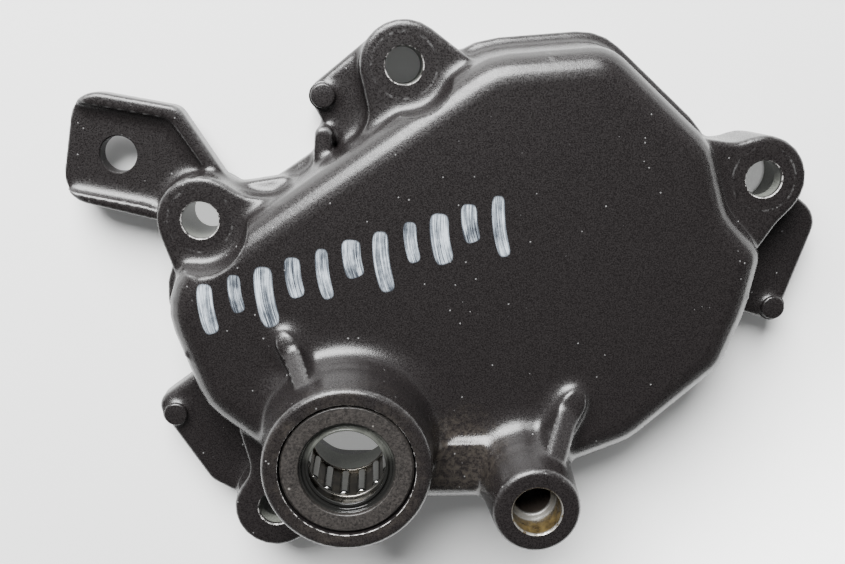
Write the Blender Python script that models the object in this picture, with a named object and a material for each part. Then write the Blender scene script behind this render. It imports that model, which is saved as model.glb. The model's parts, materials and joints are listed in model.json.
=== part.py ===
# Gear-shift side cover of a motorbike engine, with the shaft's seal and needle roller bearing.
# The gasket face lies on z = 0, facing down. Sizes are taken from the shaft's axis, which stands upright.
# Lengths are in metres.
import math

import bmesh
import bpy
from mathutils import Matrix, Vector

MM = 0.001

# Shaft, seal and bearing
SHAFT_DIAMETER = 14.0 * MM
SEAL_OUTER_DIAMETER = 24.0 * MM
SEAL_WIDTH = 5.0 * MM
SEAL_SETBACK = 0.25 * MM
SEAL_LIP_DEPTH = 1.0 * MM
SEAL_LIP_SQUEEZE = 0.1 * MM
SEAL_ROOF_DEPTH = 1.6 * MM
SEAL_GROOVE_DEPTH = 3.4 * MM
SEAL_EDGE = 0.3 * MM
# Shares of the seal's radial section, which runs from the shaft to the seal's rim
SEAL_FACE_SHARE = 0.66
SEAL_SKIN_SHARE = 0.14
SEAL_CASE_SHARE = 0.10
SEAL_WIRE_SHARE = 0.10
ROLLER_DIAMETER = 2.0 * MM
ROLLER_LENGTH = 9.8 * MM
ROLLER_COUNT = 15
ROLLER_CHAMFER = 0.15 * MM
CUP_WALL = 1.0 * MM
CUP_LIP = 0.8 * MM
CUP_LIP_CLEARANCE = 0.2 * MM
CUP_CORNER = 0.4 * MM
CAGE_THICKNESS = 0.7 * MM
RUNNING_CLEARANCE = 0.05 * MM
END_CLEARANCE = 0.1 * MM
SEAT_GAP = 0.3 * MM

# Dome of the casting
FACE_HEIGHT = 22.0 * MM
SHOULDER_RADIUS = 5.5 * MM
WALL_DRAFT = math.radians(5.0)
WALL_THICKNESS = 3.6 * MM
ROOF_THICKNESS = 3.6 * MM
FLANGE_HEIGHT = 5.0 * MM
FLANGE_STEP = 1.5 * MM
EDGE_ROUND = 0.8 * MM
CAVITY_ROUND = 3.5 * MM
# Corners of the dome's wall, counter-clockwise: x, y and corner radius in mm
WALL_CORNERS = [
    (25.5, 73.4, 16.0),
    (-37.9, 30.4, 14.0),
    (-28.8, 5.0, 14.0),
    (-4.5, -14.5, 8.0),
    (27.0, -14.7, 10.0),
    (56.0, -3.6, 14.0),
    (73.6, 11.6, 8.0),
    (78.2, 23.5, 20.0),
    (80.6, 35.8, 6.0),
    (73.2, 43.8, 6.0),
    (69.5, 56.5, 12.0),
    (48.9, 75.2, 10.0),
]

# Bosses on the face
SHAFT_AT = (0.0, 0.0)
BOSS_PROUD = 15.0 * MM
BOSS_DRAFT = math.radians(4.0)
SHAFT_BOSS_FILLET = 3.8 * MM
SMALL_BOSS_FILLET = 5.2 * MM
COLLAR_FEATHER = 0.15 * MM
SUNK = 0.6 * MM
SHAFT_BOSS_RIM = 2.9 * MM
TUBE_WALL = 3.2 * MM
TUBE_END = 8.0 * MM
BORE_STEP = 1.5 * MM
SMALL_BOSS_AT = (34.1 * MM, -8.4 * MM)
SMALL_BOSS_RADIUS = 8.0 * MM
COUNTERBORE_DIAMETER = 9.2 * MM
COUNTERBORE_DEPTH = 5.5 * MM
SCREW_HOLE_DIAMETER = 7.0 * MM
HOLE_CHAMFER = 0.5 * MM
SHAFT_RIB_THICKNESS = 3.8 * MM
SMALL_RIB_THICKNESS = 5.0 * MM
RIB_FILLET = 2.2 * MM
RIB_CROWN = 0.9
RIB_RIDGE = 0.5
RIB_SLACK = 0.3
SHAFT_RIB_ANGLE = math.radians(120.0)
SHAFT_RIB_REACH = 21.5 * MM
SMALL_RIB_ANGLE = math.radians(61.0)
SMALL_RIB_REACH = 16.5 * MM
RIB_DROP = 3.0 * MM
RIB_ROOT = 2.0 * MM
WEB_RISE = 1.6 * MM
WEB_TOP_Y = -0.6 * MM
WEB_BOTTOM_Y = -8.0 * MM
WEB_FOOT_SETBACK = 0.3 * MM
WEB_CORNER_FILLET = 4.5 * MM
INNER_RIB_THICKNESS = 2.4 * MM
INNER_RIB_DEPTH = 7.0 * MM
INNER_RIB_ANGLES = [math.radians(a) for a in (20.0, 62.0, 104.0, 150.0)]

# Screw lugs: name, centre, and the corners with radii that each side runs through into the dome, in mm.
# The round end runs counter-clockwise from the first side to the second.
LUG_HEIGHT = 15.0 * MM
LUG_RADIUS = 8.3 * MM
LUG_ROOT = 6.0 * MM
SCOOP_RADIUS = 9.0 * MM
SCOOP_FILLET = 1.6 * MM
SCOOP_WALL = 2.6 * MM
DOWEL_DIAMETER = 11.5 * MM
DOWEL_DEPTH = 11.0 * MM
LUGS = [
    ("lug_left", (-27.5, 41.5), [(-18.5, 45.6, 8.0), (-10.5, 45.6, 1.0)], [(-32.0, 29.0, 1.0)]),
    ("lug_top", (11.0, 70.0), [(24.5, 70.2, 1.0)], [(4.6, 60.5, 5.0), (0.5, 53.5, 1.0)]),
    ("lug_right", (79.6, 48.7), [(82.8, 40.0, 5.0), (77.2, 31.5, 1.0)],
     [(74.3, 55.5, 6.0), (64.0, 57.0, 1.0)]),
    ("lug_low", (-15.1, -17.0), [(-19.6, -9.5, 4.5), (-23.0, 3.5, 1.0)], [(-4.0, -12.0, 1.0)]),
]
DOWEL_LUGS = ("lug_right", "lug_low")
SCOOPED_LUGS = ("lug_left", "lug_top", "lug_right")

# Casting tabs: corners with radii in mm, and the nub on each
TAB_BACK = 2.0 * MM
TAB_FRONT = 8.0 * MM
TAB_ROUND = 1.3 * MM
NUB_RADIUS = 2.1 * MM
NUB_RISE = 1.3 * MM
NUB_EDGE = 0.3 * MM
TABS = [
    ("tab_top", [(6.0, 76.3, 2.0), (-7.8, 65.2, 3.2), (-3.0, 56.2, 1.5), (0.5, 53.0, 1.0),
                 (12.0, 60.0, 2.0)], (-4.3, 64.3)),
    ("tab_right", [(83.0, 49.0, 2.0), (74.0, 36.0, 2.0), (77.0, 21.6, 1.5), (86.9, 18.4, 2.8),
                   (94.3, 40.6, 5.0), (88.4, 45.4, 3.0)], (85.7, 21.9)),
    ("tab_left", [(-28.0, 11.5, 2.0), (-39.8, 3.0, 3.0), (-29.0, -14.0, 4.0), (-22.0, -18.0, 2.0),
                  (-16.0, -6.0, 2.0)], (-35.3, 1.0)),
]
# Short upright nib on the wall beside the top tab
NIB_HEIGHT = 10.5 * MM
NIB_CORNERS = [(-6.6, 48.5, 0.6), (-3.0, 48.5, 0.6), (-2.5, 58.4, 1.5), (-5.9, 58.8, 1.5)]

# Cable bracket beside the left lug, in mm where a row holds corners
BRACKET_BACK = 4.0 * MM
BRACKET_FRONT = 8.0 * MM
BRACKET_LIP = 1.6 * MM
BRACKET_SLOPE = 0.6 * MM
BRACKET_HOLE_DIAMETER = 7.0 * MM
BRACKET_HOLE_AT = (-43.6 * MM, 53.3 * MM)
BRACKET_CORNERS = [
    (-31.6, 62.4, 3.0), (-51.2, 66.0, 5.5), (-55.0, 45.2, 5.5), (-37.0, 40.6, 3.0),
    (-22.0, 38.0, 2.0), (-11.0, 44.0, 2.0), (-9.0, 49.6, 2.0), (-22.2, 47.6, 4.0),
]
RECESS_CORNERS = [
    (-33.6, 59.7, 2.0), (-60.0, 64.6, 1.0), (-62.0, 48.6, 1.0), (-38.5, 43.8, 2.0),
    (-30.0, 40.5, 1.0), (-24.2, 45.4, 1.0),
]

# Heights and radii that follow from the sizes above
FRONT_HEIGHT = FACE_HEIGHT + BOSS_PROUD
BELOW = -1.0 * MM
ABOVE = 1.0 * MM
RACEWAY_RADIUS = SHAFT_DIAMETER / 2 + ROLLER_DIAMETER
PITCH_RADIUS = (SHAFT_DIAMETER + ROLLER_DIAMETER) / 2
CUP_RADIUS = RACEWAY_RADIUS + CUP_WALL
CUP_LENGTH = ROLLER_LENGTH + 2 * (CUP_LIP + END_CLEARANCE + CAGE_THICKNESS)
SEAL_FRONT = FRONT_HEIGHT - SEAL_SETBACK
SEAL_BACK = SEAL_FRONT - SEAL_WIDTH
SEAL_SECTION = (SEAL_OUTER_DIAMETER - SHAFT_DIAMETER) / 2
SEAL_BORE_RADIUS = SEAL_OUTER_DIAMETER / 2 + SEAT_GAP
CUP_FRONT = SEAL_BACK - SEAT_GAP
CUP_BACK = CUP_FRONT - CUP_LENGTH
CUP_BORE_RADIUS = CUP_RADIUS + SEAT_GAP
REAR_BORE_RADIUS = CUP_BORE_RADIUS - BORE_STEP
SHAFT_BOSS_RADIUS = SEAL_BORE_RADIUS + SHAFT_BOSS_RIM

# The row's origin lies on the gasket face, in the middle of the cover's outline
ORIGIN_AT = (19.67 * MM, 26.48 * MM)

# Fineness of the rounds
ROUND_STEPS = 48
HOLE_STEPS = 24
NUB_STEPS = 16
CAGE_STEPS = 60
SPRING_STEPS = 30
ROLLER_STEPS = 12
ARC_ANGLE = math.radians(18.0)
TINY_ROUND = 0.4 * MM
MERGE_DISTANCE = 0.001 * MM


def in_metres(point):
    return (point[0] * MM, point[1] * MM)


def rounded(corners, inset=0.0):
    # Closed counter-clockwise outline with an arc at each corner, moved inward by the inset
    spots = [Vector(in_metres(c)) for c in corners]
    radii = [c[2] * MM for c in corners]
    outline = []
    for i, spot in enumerate(spots):
        into = (spot - spots[i - 1]).normalized()
        out = (spots[(i + 1) % len(spots)] - spot).normalized()
        left_in = Vector((-into.y, into.x))
        left_out = Vector((-out.y, out.x))
        turn = math.atan2(into.cross(out), into.dot(out))
        side = 1.0 if turn > 0 else -1.0
        corner = spot + (left_in + left_out) * (inset / (1 + left_in.dot(left_out)))
        radius = max(radii[i] - side * inset, TINY_ROUND)
        start = corner - into * (radius * math.tan(abs(turn) / 2))
        centre = start + left_in * (side * radius)
        arm = start - centre
        steps = max(1, math.ceil(abs(turn) / ARC_ANGLE))
        for k in range(steps + 1):
            point = centre + Matrix.Rotation(turn * k / steps, 2) @ arm
            if not outline or (point - outline[-1]).length > MERGE_DISTANCE:
                outline.append(point)
    return [tuple(point) for point in outline]


def reach(outline, start, angle):
    # Distance from a point to the outline along a direction
    ahead = Vector((math.cos(angle), math.sin(angle)))
    best = None
    for i, a in enumerate(outline):
        edge = Vector(a) - Vector(outline[i - 1])
        gap = Vector(outline[i - 1]) - Vector(start)
        bottom = ahead.cross(edge)
        if abs(bottom) < 1e-12:
            continue
        along = gap.cross(edge) / bottom
        part = gap.cross(ahead) / bottom
        if along > 0 and 0 <= part <= 1 and (best is None or along < best):
            best = along
    return best


def depth_inside(outline, spot):
    # Distance from a point to the outline, negative outside it
    nearest = None
    inside = False
    for i, b in enumerate(outline):
        a = outline[i - 1]
        if (a[1] > spot[1]) != (b[1] > spot[1]):
            if spot[0] < a[0] + (spot[1] - a[1]) * (b[0] - a[0]) / (b[1] - a[1]):
                inside = not inside
        edge = Vector(b) - Vector(a)
        gap = Vector(spot) - Vector(a)
        along = min(max(gap.dot(edge) / edge.length_squared, 0.0), 1.0)
        far = (gap - edge * along).length
        nearest = far if nearest is None else min(nearest, far)
    return nearest if inside else -nearest


def circle(centre, radius, count=ROUND_STEPS):
    return [
        (centre[0] + radius * math.cos(2 * math.pi * k / count),
         centre[1] + radius * math.sin(2 * math.pi * k / count))
        for k in range(count)
    ]


def solid(name, vertices, faces):
    mesh = bpy.data.meshes.new(name)
    grid = bmesh.new()
    spots = [grid.verts.new(v) for v in vertices]
    for face in faces:
        grid.faces.new([spots[k] for k in face])
    bmesh.ops.recalc_face_normals(grid, faces=grid.faces)
    grid.to_mesh(mesh)
    grid.free()
    mesh.shade_smooth()
    mesh.set_sharp_from_angle(angle=math.radians(32))
    item = bpy.data.objects.new(name, mesh)
    bpy.context.collection.objects.link(item)
    return item


def loft(name, rings):
    # Closed solid through rings of equal length, each a list of x, y, z points
    count = len(rings[0])
    vertices = [p for ring in rings for p in ring]
    faces = [list(range(count))]
    for r in range(len(rings) - 1):
        for k in range(count):
            near = (k + 1) % count
            above = (r + 1) * count
            faces.append([r * count + k, r * count + near, above + near, above + k])
    faces.append([(len(rings) - 1) * count + k for k in range(count)])
    return solid(name, vertices, faces)


def stack(name, layers):
    # Loft through flat outlines, each given with its height
    return loft(name, [[(x, y, z) for x, y in outline] for outline, z in layers])


def turned(name, profile, centre=(0.0, 0.0), count=ROUND_STEPS):
    # Closed ring turned about the vertical through the centre from a closed r, z profile
    vertices = []
    for k in range(count):
        angle = 2 * math.pi * k / count
        for radius, height in profile:
            x = centre[0] + radius * math.cos(angle)
            y = centre[1] + radius * math.sin(angle)
            vertices.append((x, y, height))
    faces = []
    size = len(profile)
    for k in range(count):
        for i in range(size):
            after = (i + 1) % size
            near = ((k + 1) % count) * size
            faces.append([k * size + i, k * size + after, near + after, near + i])
    return solid(name, vertices, faces)


def turned_plug(name, profile, centre=(0.0, 0.0), count=ROUND_STEPS):
    # Solid turned from an open r, z profile, closed by flat ends
    return stack(name, [(circle(centre, radius, count), height) for radius, height in profile])


def rounded_top(outline_at, bottom, top, edge, steps=3):
    # Layers of a prism whose top edge is rounded, from a function that gives the outline for an inset
    layers = [(outline_at(0.0), bottom), (outline_at(0.0), top - edge)]
    for k in range(1, steps + 1):
        angle = math.pi / 2 * k / steps
        height = top - edge + edge * math.sin(angle)
        layers.append((outline_at(edge * (1 - math.cos(angle))), height))
    return layers


def hide_tool(tool):
    tool.hide_render = True
    tool.display_type = "WIRE"
    return tool


def combine(target, tool, operation):
    step = target.modifiers.new(tool.name, "BOOLEAN")
    step.operation = operation
    step.solver = "EXACT"
    step.object = hide_tool(tool)


def join(target, tool):
    combine(target, tool, "UNION")


def cut(target, tool):
    combine(target, tool, "DIFFERENCE")


def material(name, colour, roughness, metallic):
    finish = bpy.data.materials.new(name)
    finish.use_nodes = True
    shader = finish.node_tree.nodes["Principled BSDF"]
    shader.inputs["Base Color"].default_value = (*colour, 1.0)
    shader.inputs["Roughness"].default_value = roughness
    shader.inputs["Metallic"].default_value = metallic
    finish.diffuse_color = (*colour, 1.0)
    return finish


def wall_inset(height):
    # How far the drafted wall leans in at a height
    return height * math.tan(WALL_DRAFT)


def dome_layers(wall, roof, round_edge, bottom):
    # Drafted wall with a rounded shoulder, moved inward by the wall value and closed at the roof height
    layers = []
    for height in (bottom, roof - round_edge):
        layers.append((rounded(WALL_CORNERS, wall + wall_inset(height)), height))
    base = wall + wall_inset(roof - round_edge)
    for k in range(1, 6):
        angle = math.pi / 2 * k / 5
        inset = base + round_edge * (1 - math.cos(angle))
        layers.append((rounded(WALL_CORNERS, inset), roof - round_edge + round_edge * math.sin(angle)))
    return layers


def face_outline():
    return rounded(WALL_CORNERS, wall_inset(FACE_HEIGHT - SHOULDER_RADIUS) + SHOULDER_RADIUS)


def boss_radius_at(radius, height):
    return radius + (FRONT_HEIGHT - height) * math.tan(BOSS_DRAFT)


def boss(name, centre, radius):
    # Drafted round boss from the gasket side to its front ring
    profile = [
        (boss_radius_at(radius, BELOW), BELOW),
        (boss_radius_at(radius, FRONT_HEIGHT - EDGE_ROUND), FRONT_HEIGHT - EDGE_ROUND),
        (radius - 0.3 * EDGE_ROUND, FRONT_HEIGHT - 0.3 * EDGE_ROUND),
        (radius - EDGE_ROUND, FRONT_HEIGHT),
    ]
    return turned_plug(name, profile, centre)


def collar(name, centre, radius, fillet):
    # Fillet ring at a boss's foot, narrower where the face's edge comes near
    face = face_outline()
    foot = boss_radius_at(radius, FACE_HEIGHT)
    rings = []
    for k in range(ROUND_STEPS):
        angle = 2 * math.pi * k / ROUND_STEPS
        edge = (centre[0] + foot * math.cos(angle), centre[1] + foot * math.sin(angle))
        width = min(max(depth_inside(face, edge), COLLAR_FEATHER), fillet)
        section = [(foot - SUNK, FACE_HEIGHT - SUNK), (foot + width, FACE_HEIGHT - SUNK)]
        for i in range(5):
            bend = math.pi / 2 * i / 4
            rise = width * (1 - math.cos(bend))
            section.append((foot + width * (1 - math.sin(bend)), FACE_HEIGHT + rise))
        section.append((foot - SUNK, FACE_HEIGHT + width))
        rings.append([
            (centre[0] + r * math.cos(angle), centre[1] + r * math.sin(angle), z) for r, z in section
        ])
    count = len(rings[0])
    vertices = [p for ring in rings for p in ring]
    faces = []
    for k in range(ROUND_STEPS):
        near = ((k + 1) % ROUND_STEPS) * count
        for i in range(count):
            after = (i + 1) % count
            faces.append([k * count + i, k * count + after, near + after, near + i])
    return solid(name, vertices, faces)


def gusset(name, centre, angle, start, length, thickness):
    # Sloping rib with filleted foot and rounded nose, from a boss out onto the face
    ahead = Vector((math.cos(angle), math.sin(angle), 0.0))
    across = Vector((-ahead.y, ahead.x, 0.0))
    half = thickness / 2
    foot = half + RIB_FILLET
    top_start = BOSS_PROUD - RIB_DROP
    stations = [(start + (length - start) * k / 6, 1.0) for k in range(7)]
    for k in range(1, 5):
        bend = math.radians(20.0 * k)
        stations.append((length + foot * math.sin(bend), math.cos(bend)))
    rings = []
    for out, scale in stations:
        slope = max(0.0, (length - out) / (length - start))
        rise = (RIB_FILLET + (top_start - RIB_FILLET) * slope) * scale
        section = [(foot, -SUNK)]
        for i in range(4):
            bend = math.pi / 2 * i / 3
            lift = RIB_FILLET * RIB_CROWN * (1 - math.cos(bend)) * scale
            section.append((half + RIB_FILLET * (1 - math.sin(bend)), lift))
        shoulder = RIB_FILLET * RIB_CROWN * scale
        section.append((half * RIB_CROWN, max(rise - RIB_SLACK * half, shoulder + TINY_ROUND * scale / 4)))
        section.append((half * RIB_RIDGE, max(rise, shoulder + TINY_ROUND * scale / 2)))
        ring = []
        for side in (1, -1):
            ordered = section if side > 0 else list(reversed(section))
            for u, z in ordered:
                spot = Vector((*centre, FACE_HEIGHT)) + ahead * out + across * (side * u * scale)
                ring.append(tuple(spot + Vector((0, 0, z))))
        rings.append(ring)
    return loft(name, rings)


def lug_corners(centre, first, second):
    # The first side, the round end as corners about its circle, the second side and a root inside the dome
    middle = Vector(centre)
    radius = LUG_RADIUS / MM
    touch = []
    for turn, corner in ((1, first[0]), (-1, second[0])):
        gap = Vector(corner[:2]) - middle
        touch.append(math.atan2(gap.y, gap.x) + turn * math.acos(radius / gap.length))
    sweep = (touch[1] - touch[0]) % (2 * math.pi)
    parts = 3
    corners = list(reversed(first))
    for k in range(parts):
        angle = touch[0] + sweep * (k + 0.5) / parts
        out = radius / math.cos(sweep / (2 * parts))
        corners.append((middle.x + out * math.cos(angle), middle.y + out * math.sin(angle), radius))
    corners += second
    half_way = (Vector(first[-1][:2]) + Vector(second[-1][:2])) / 2
    root = half_way + (half_way - middle).normalized() * (LUG_ROOT / MM)
    corners.append((root.x, root.y, TINY_ROUND / MM))
    return corners


def lug(name, centre, first, second):
    corners = lug_corners(centre, first, second)

    def outline_at(inset):
        return rounded(corners, inset)
    return stack(name, rounded_top(outline_at, BELOW, LUG_HEIGHT, EDGE_ROUND))


def scoop(name, centre):
    # Room for a screw head: an upright cut into the dome with a filleted foot at the lug's face
    foot = SCOOP_RADIUS - SCOOP_FILLET
    profile = [(foot, LUG_HEIGHT + BELOW)]
    for k in range(1, 5):
        bend = math.pi / 2 * k / 4
        out = foot + SCOOP_FILLET * math.sin(bend)
        profile.append((out, LUG_HEIGHT + SCOOP_FILLET * (1 - math.cos(bend))))
    top = FACE_HEIGHT + ABOVE
    profile.append((SCOOP_RADIUS + (top - LUG_HEIGHT) * math.tan(WALL_DRAFT), top))
    return turned_plug(name, profile, in_metres(centre))


def cavity():
    # Room behind the dome, kept clear of the screw-head scoops by a wall of their own
    room = stack("cavity", dome_layers(
        WALL_THICKNESS, FACE_HEIGHT - ROOF_THICKNESS, CAVITY_ROUND, 2 * BELOW))
    for name, centre, first, second in LUGS:
        if name in SCOOPED_LUGS:
            radius = SCOOP_RADIUS + SCOOP_WALL
            profile = [(radius, LUG_HEIGHT - SCOOP_WALL), (radius, FACE_HEIGHT)]
            cut(room, turned_plug(name + "_scoop_wall", profile, in_metres(centre)))
    return room


def tab(name, corners):
    def outline_at(inset):
        return rounded(corners, inset)
    layers = [(outline_at(TINY_ROUND), TAB_BACK)]
    layers += rounded_top(outline_at, TAB_BACK + TINY_ROUND, TAB_FRONT, TAB_ROUND)
    return stack(name, layers)


def nub(name, centre):
    top = TAB_FRONT + NUB_RISE
    return turned_plug(name, [
        (NUB_RADIUS + NUB_EDGE, TAB_BACK + ABOVE),
        (NUB_RADIUS, TAB_FRONT + NUB_EDGE),
        (NUB_RADIUS, top - NUB_EDGE),
        (NUB_RADIUS - NUB_EDGE, top),
    ], in_metres(centre), NUB_STEPS)


def nib():
    def outline_at(inset):
        return rounded(NIB_CORNERS, inset)
    return stack("nib", rounded_top(outline_at, BELOW, NIB_HEIGHT, EDGE_ROUND))


def bracket():
    top = BRACKET_FRONT + BRACKET_LIP

    def outline_at(inset):
        return rounded(BRACKET_CORNERS, inset)
    plate = stack("bracket", rounded_top(outline_at, BRACKET_BACK, top, EDGE_ROUND))
    recess = stack("bracket_recess", [
        (rounded(RECESS_CORNERS), BRACKET_FRONT),
        (rounded(RECESS_CORNERS, -BRACKET_SLOPE), top + ABOVE),
    ])
    cut(plate, recess)
    return plate


def web_foot():
    # Line of the dome's lower wall that the web runs down to
    lowest = min(corner[1] for corner in WALL_CORNERS) * MM
    return lowest + wall_inset(FACE_HEIGHT - SHOULDER_RADIUS) + WEB_FOOT_SETBACK


def web():
    # Raised bridge between the two bosses, its profile run from axis to axis
    top = FACE_HEIGHT + WEB_RISE
    foot = web_foot()
    profile = [(WEB_TOP_Y + WEB_RISE, BELOW), (WEB_TOP_Y + WEB_RISE, FACE_HEIGHT)]
    for k in range(1, 4):
        bend = math.pi / 2 * k / 3
        rise = WEB_RISE * (1 - math.cos(bend))
        profile.append((WEB_TOP_Y + WEB_RISE * (1 - math.sin(bend)), FACE_HEIGHT + rise))
    drop = WEB_BOTTOM_Y - foot
    for k in range(5):
        bend = math.pi / 2 * k / 4
        profile.append((WEB_BOTTOM_Y - drop * math.sin(bend), top - drop * (1 - math.cos(bend))))
    profile.append((foot, BELOW))
    ends = (SHAFT_BOSS_RADIUS / 2, SMALL_BOSS_AT[0] - SMALL_BOSS_RADIUS / 3)
    return loft("web", [[(x, y, z) for y, z in profile] for x in ends])


def web_corner():
    # Upright fillet where the web's lower wall runs into the small boss
    boss_x, boss_y = SMALL_BOSS_AT
    down = boss_y - web_foot() + WEB_CORNER_FILLET
    layers = []
    for height in (BELOW, FACE_HEIGHT + WEB_RISE - WEB_BOTTOM_Y + web_foot()):
        apart = boss_radius_at(SMALL_BOSS_RADIUS, height) + WEB_CORNER_FILLET
        left = math.sqrt(apart ** 2 - down ** 2)
        toward = math.atan2(down, left)
        outline = []
        for k in range(6):
            bend = math.pi / 2 + (toward - math.pi / 2) * k / 5
            outline.append((boss_x - left + WEB_CORNER_FILLET * math.cos(bend),
                            boss_y - down + WEB_CORNER_FILLET * math.sin(bend)))
        inside = SMALL_BOSS_RADIUS / 2
        outline.append((boss_x - inside * math.cos(toward), boss_y - inside * math.sin(toward)))
        outline.append((boss_x - inside, boss_y))
        outline.append((boss_x - left, web_foot() + SUNK))
        layers.append((outline, height))
    return stack("web_corner", layers)


def screw_hole(name, centre, top, diameter=SCREW_HOLE_DIAMETER):
    radius = diameter / 2
    profile = [
        (radius, 2 * BELOW),
        (radius, top - HOLE_CHAMFER),
        (radius + HOLE_CHAMFER, top),
        (radius + HOLE_CHAMFER, top + ABOVE),
    ]
    return turned_plug(name, profile, centre, HOLE_STEPS)


def shaft_bore():
    profile = [
        (REAR_BORE_RADIUS, 2 * BELOW),
        (REAR_BORE_RADIUS, CUP_BACK - SEAT_GAP),
        (CUP_BORE_RADIUS, CUP_BACK - SEAT_GAP),
        (CUP_BORE_RADIUS, SEAL_BACK - SEAT_GAP / 2),
        (SEAL_BORE_RADIUS, SEAL_BACK - SEAT_GAP / 2),
        (SEAL_BORE_RADIUS, FRONT_HEIGHT - HOLE_CHAMFER),
        (SEAL_BORE_RADIUS + HOLE_CHAMFER, FRONT_HEIGHT),
        (SEAL_BORE_RADIUS + HOLE_CHAMFER, FRONT_HEIGHT + ABOVE),
    ]
    return turned_plug("shaft_bore", profile)


def small_bore():
    radius = COUNTERBORE_DIAMETER / 2
    profile = [
        (SCREW_HOLE_DIAMETER / 2, 2 * BELOW),
        (SCREW_HOLE_DIAMETER / 2, FRONT_HEIGHT - COUNTERBORE_DEPTH),
        (radius, FRONT_HEIGHT - COUNTERBORE_DEPTH),
        (radius, FRONT_HEIGHT - HOLE_CHAMFER),
        (radius + HOLE_CHAMFER, FRONT_HEIGHT),
        (radius + HOLE_CHAMFER, FRONT_HEIGHT + ABOVE),
    ]
    return turned_plug("small_bore", profile, SMALL_BOSS_AT)


def inner_rib(name, angle):
    # Straight rib under the roof, from the bearing tube to the wall
    inner = rounded(WALL_CORNERS, WALL_THICKNESS / 2 + wall_inset(FACE_HEIGHT / 2))
    start = CUP_BORE_RADIUS + TUBE_WALL / 2
    end = reach(inner, SHAFT_AT, angle)
    ahead = Vector((math.cos(angle), math.sin(angle)))
    across = Vector((-ahead.y, ahead.x)) * (INNER_RIB_THICKNESS / 2)
    plan = [ahead * start - across, ahead * end - across, ahead * end + across, ahead * start + across]
    top = FACE_HEIGHT - ROOF_THICKNESS / 2
    bottom = FACE_HEIGHT - ROOF_THICKNESS - INNER_RIB_DEPTH
    return stack(name, [([tuple(p) for p in plan], bottom), ([tuple(p) for p in plan], top)])


def gasket_plane():
    # Everything below the gasket face
    far = 3 * max(Vector(in_metres(corner)).length for corner in WALL_CORNERS)
    square = circle(SHAFT_AT, far, 4)
    return stack("gasket_plane", [(square, 4 * BELOW), (square, 0.0)])


def tube(name, centre, radius, bottom):
    # Round column under the roof
    return turned_plug(name, [(radius, bottom), (radius, FACE_HEIGHT - ROOF_THICKNESS / 2)], centre)


def cover_casting():
    casting = stack("cover_casting", dome_layers(0.0, FACE_HEIGHT, SHOULDER_RADIUS, BELOW))

    def flange_at(inset):
        return rounded(WALL_CORNERS, inset - FLANGE_STEP)
    join(casting, stack("flange", rounded_top(flange_at, BELOW, FLANGE_HEIGHT, EDGE_ROUND)))
    for name, centre, first, second in LUGS:
        if name in SCOOPED_LUGS:
            cut(casting, scoop(name + "_scoop", centre))
    for row in LUGS:
        join(casting, lug(*row))
    for name, corners, nub_at in TABS:
        join(casting, tab(name, corners))
        join(casting, nub(name + "_nub", nub_at))
    join(casting, nib())
    join(casting, bracket())
    join(casting, web())
    blended_from = len(casting.modifiers)
    for name, centre, radius, fillet in (
            ("shaft_boss", SHAFT_AT, SHAFT_BOSS_RADIUS, SHAFT_BOSS_FILLET),
            ("small_boss", SMALL_BOSS_AT, SMALL_BOSS_RADIUS, SMALL_BOSS_FILLET)):
        join(casting, boss(name, centre, radius))
        join(casting, collar(name + "_fillet", centre, radius, fillet))
    join(casting, gusset("shaft_boss_rib", SHAFT_AT, SHAFT_RIB_ANGLE, SHAFT_BOSS_RADIUS - RIB_ROOT,
                         SHAFT_RIB_REACH, SHAFT_RIB_THICKNESS))
    join(casting, gusset("small_boss_rib", SMALL_BOSS_AT, SMALL_RIB_ANGLE, SMALL_BOSS_RADIUS - RIB_ROOT,
                         SMALL_RIB_REACH, SMALL_RIB_THICKNESS))
    join(casting, web_corner())
    cut(casting, cavity())
    join(casting, tube("bearing_tube", SHAFT_AT, CUP_BORE_RADIUS + TUBE_WALL, TUBE_END))
    join(casting, tube("screw_column", SMALL_BOSS_AT, SMALL_BOSS_RADIUS, BELOW))
    for k, angle in enumerate(INNER_RIB_ANGLES):
        join(casting, inner_rib(f"inner_rib_{k + 1}", angle))
    cut(casting, gasket_plane())
    cut(casting, shaft_bore())
    cut(casting, small_bore())
    for name, centre, first, second in LUGS:
        cut(casting, screw_hole(name + "_hole", in_metres(centre), LUG_HEIGHT))
        if name in DOWEL_LUGS:
            profile = [(DOWEL_DIAMETER / 2, BELOW), (DOWEL_DIAMETER / 2, DOWEL_DEPTH)]
            cut(casting, turned_plug(name + "_dowel", profile, in_metres(centre), HOLE_STEPS))
    cut(casting, screw_hole("bracket_hole", BRACKET_HOLE_AT, BRACKET_FRONT, BRACKET_HOLE_DIAMETER))
    # Bosses, fillets and web meet at grazing angles, where the exact solver leaves open edges
    for step in list(casting.modifiers)[blended_from:]:
        step.solver = "MANIFOLD"
    casting.data.materials.append(material("black_powder_coat", (0.022, 0.021, 0.022), 0.48, 0.0))
    return casting


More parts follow.
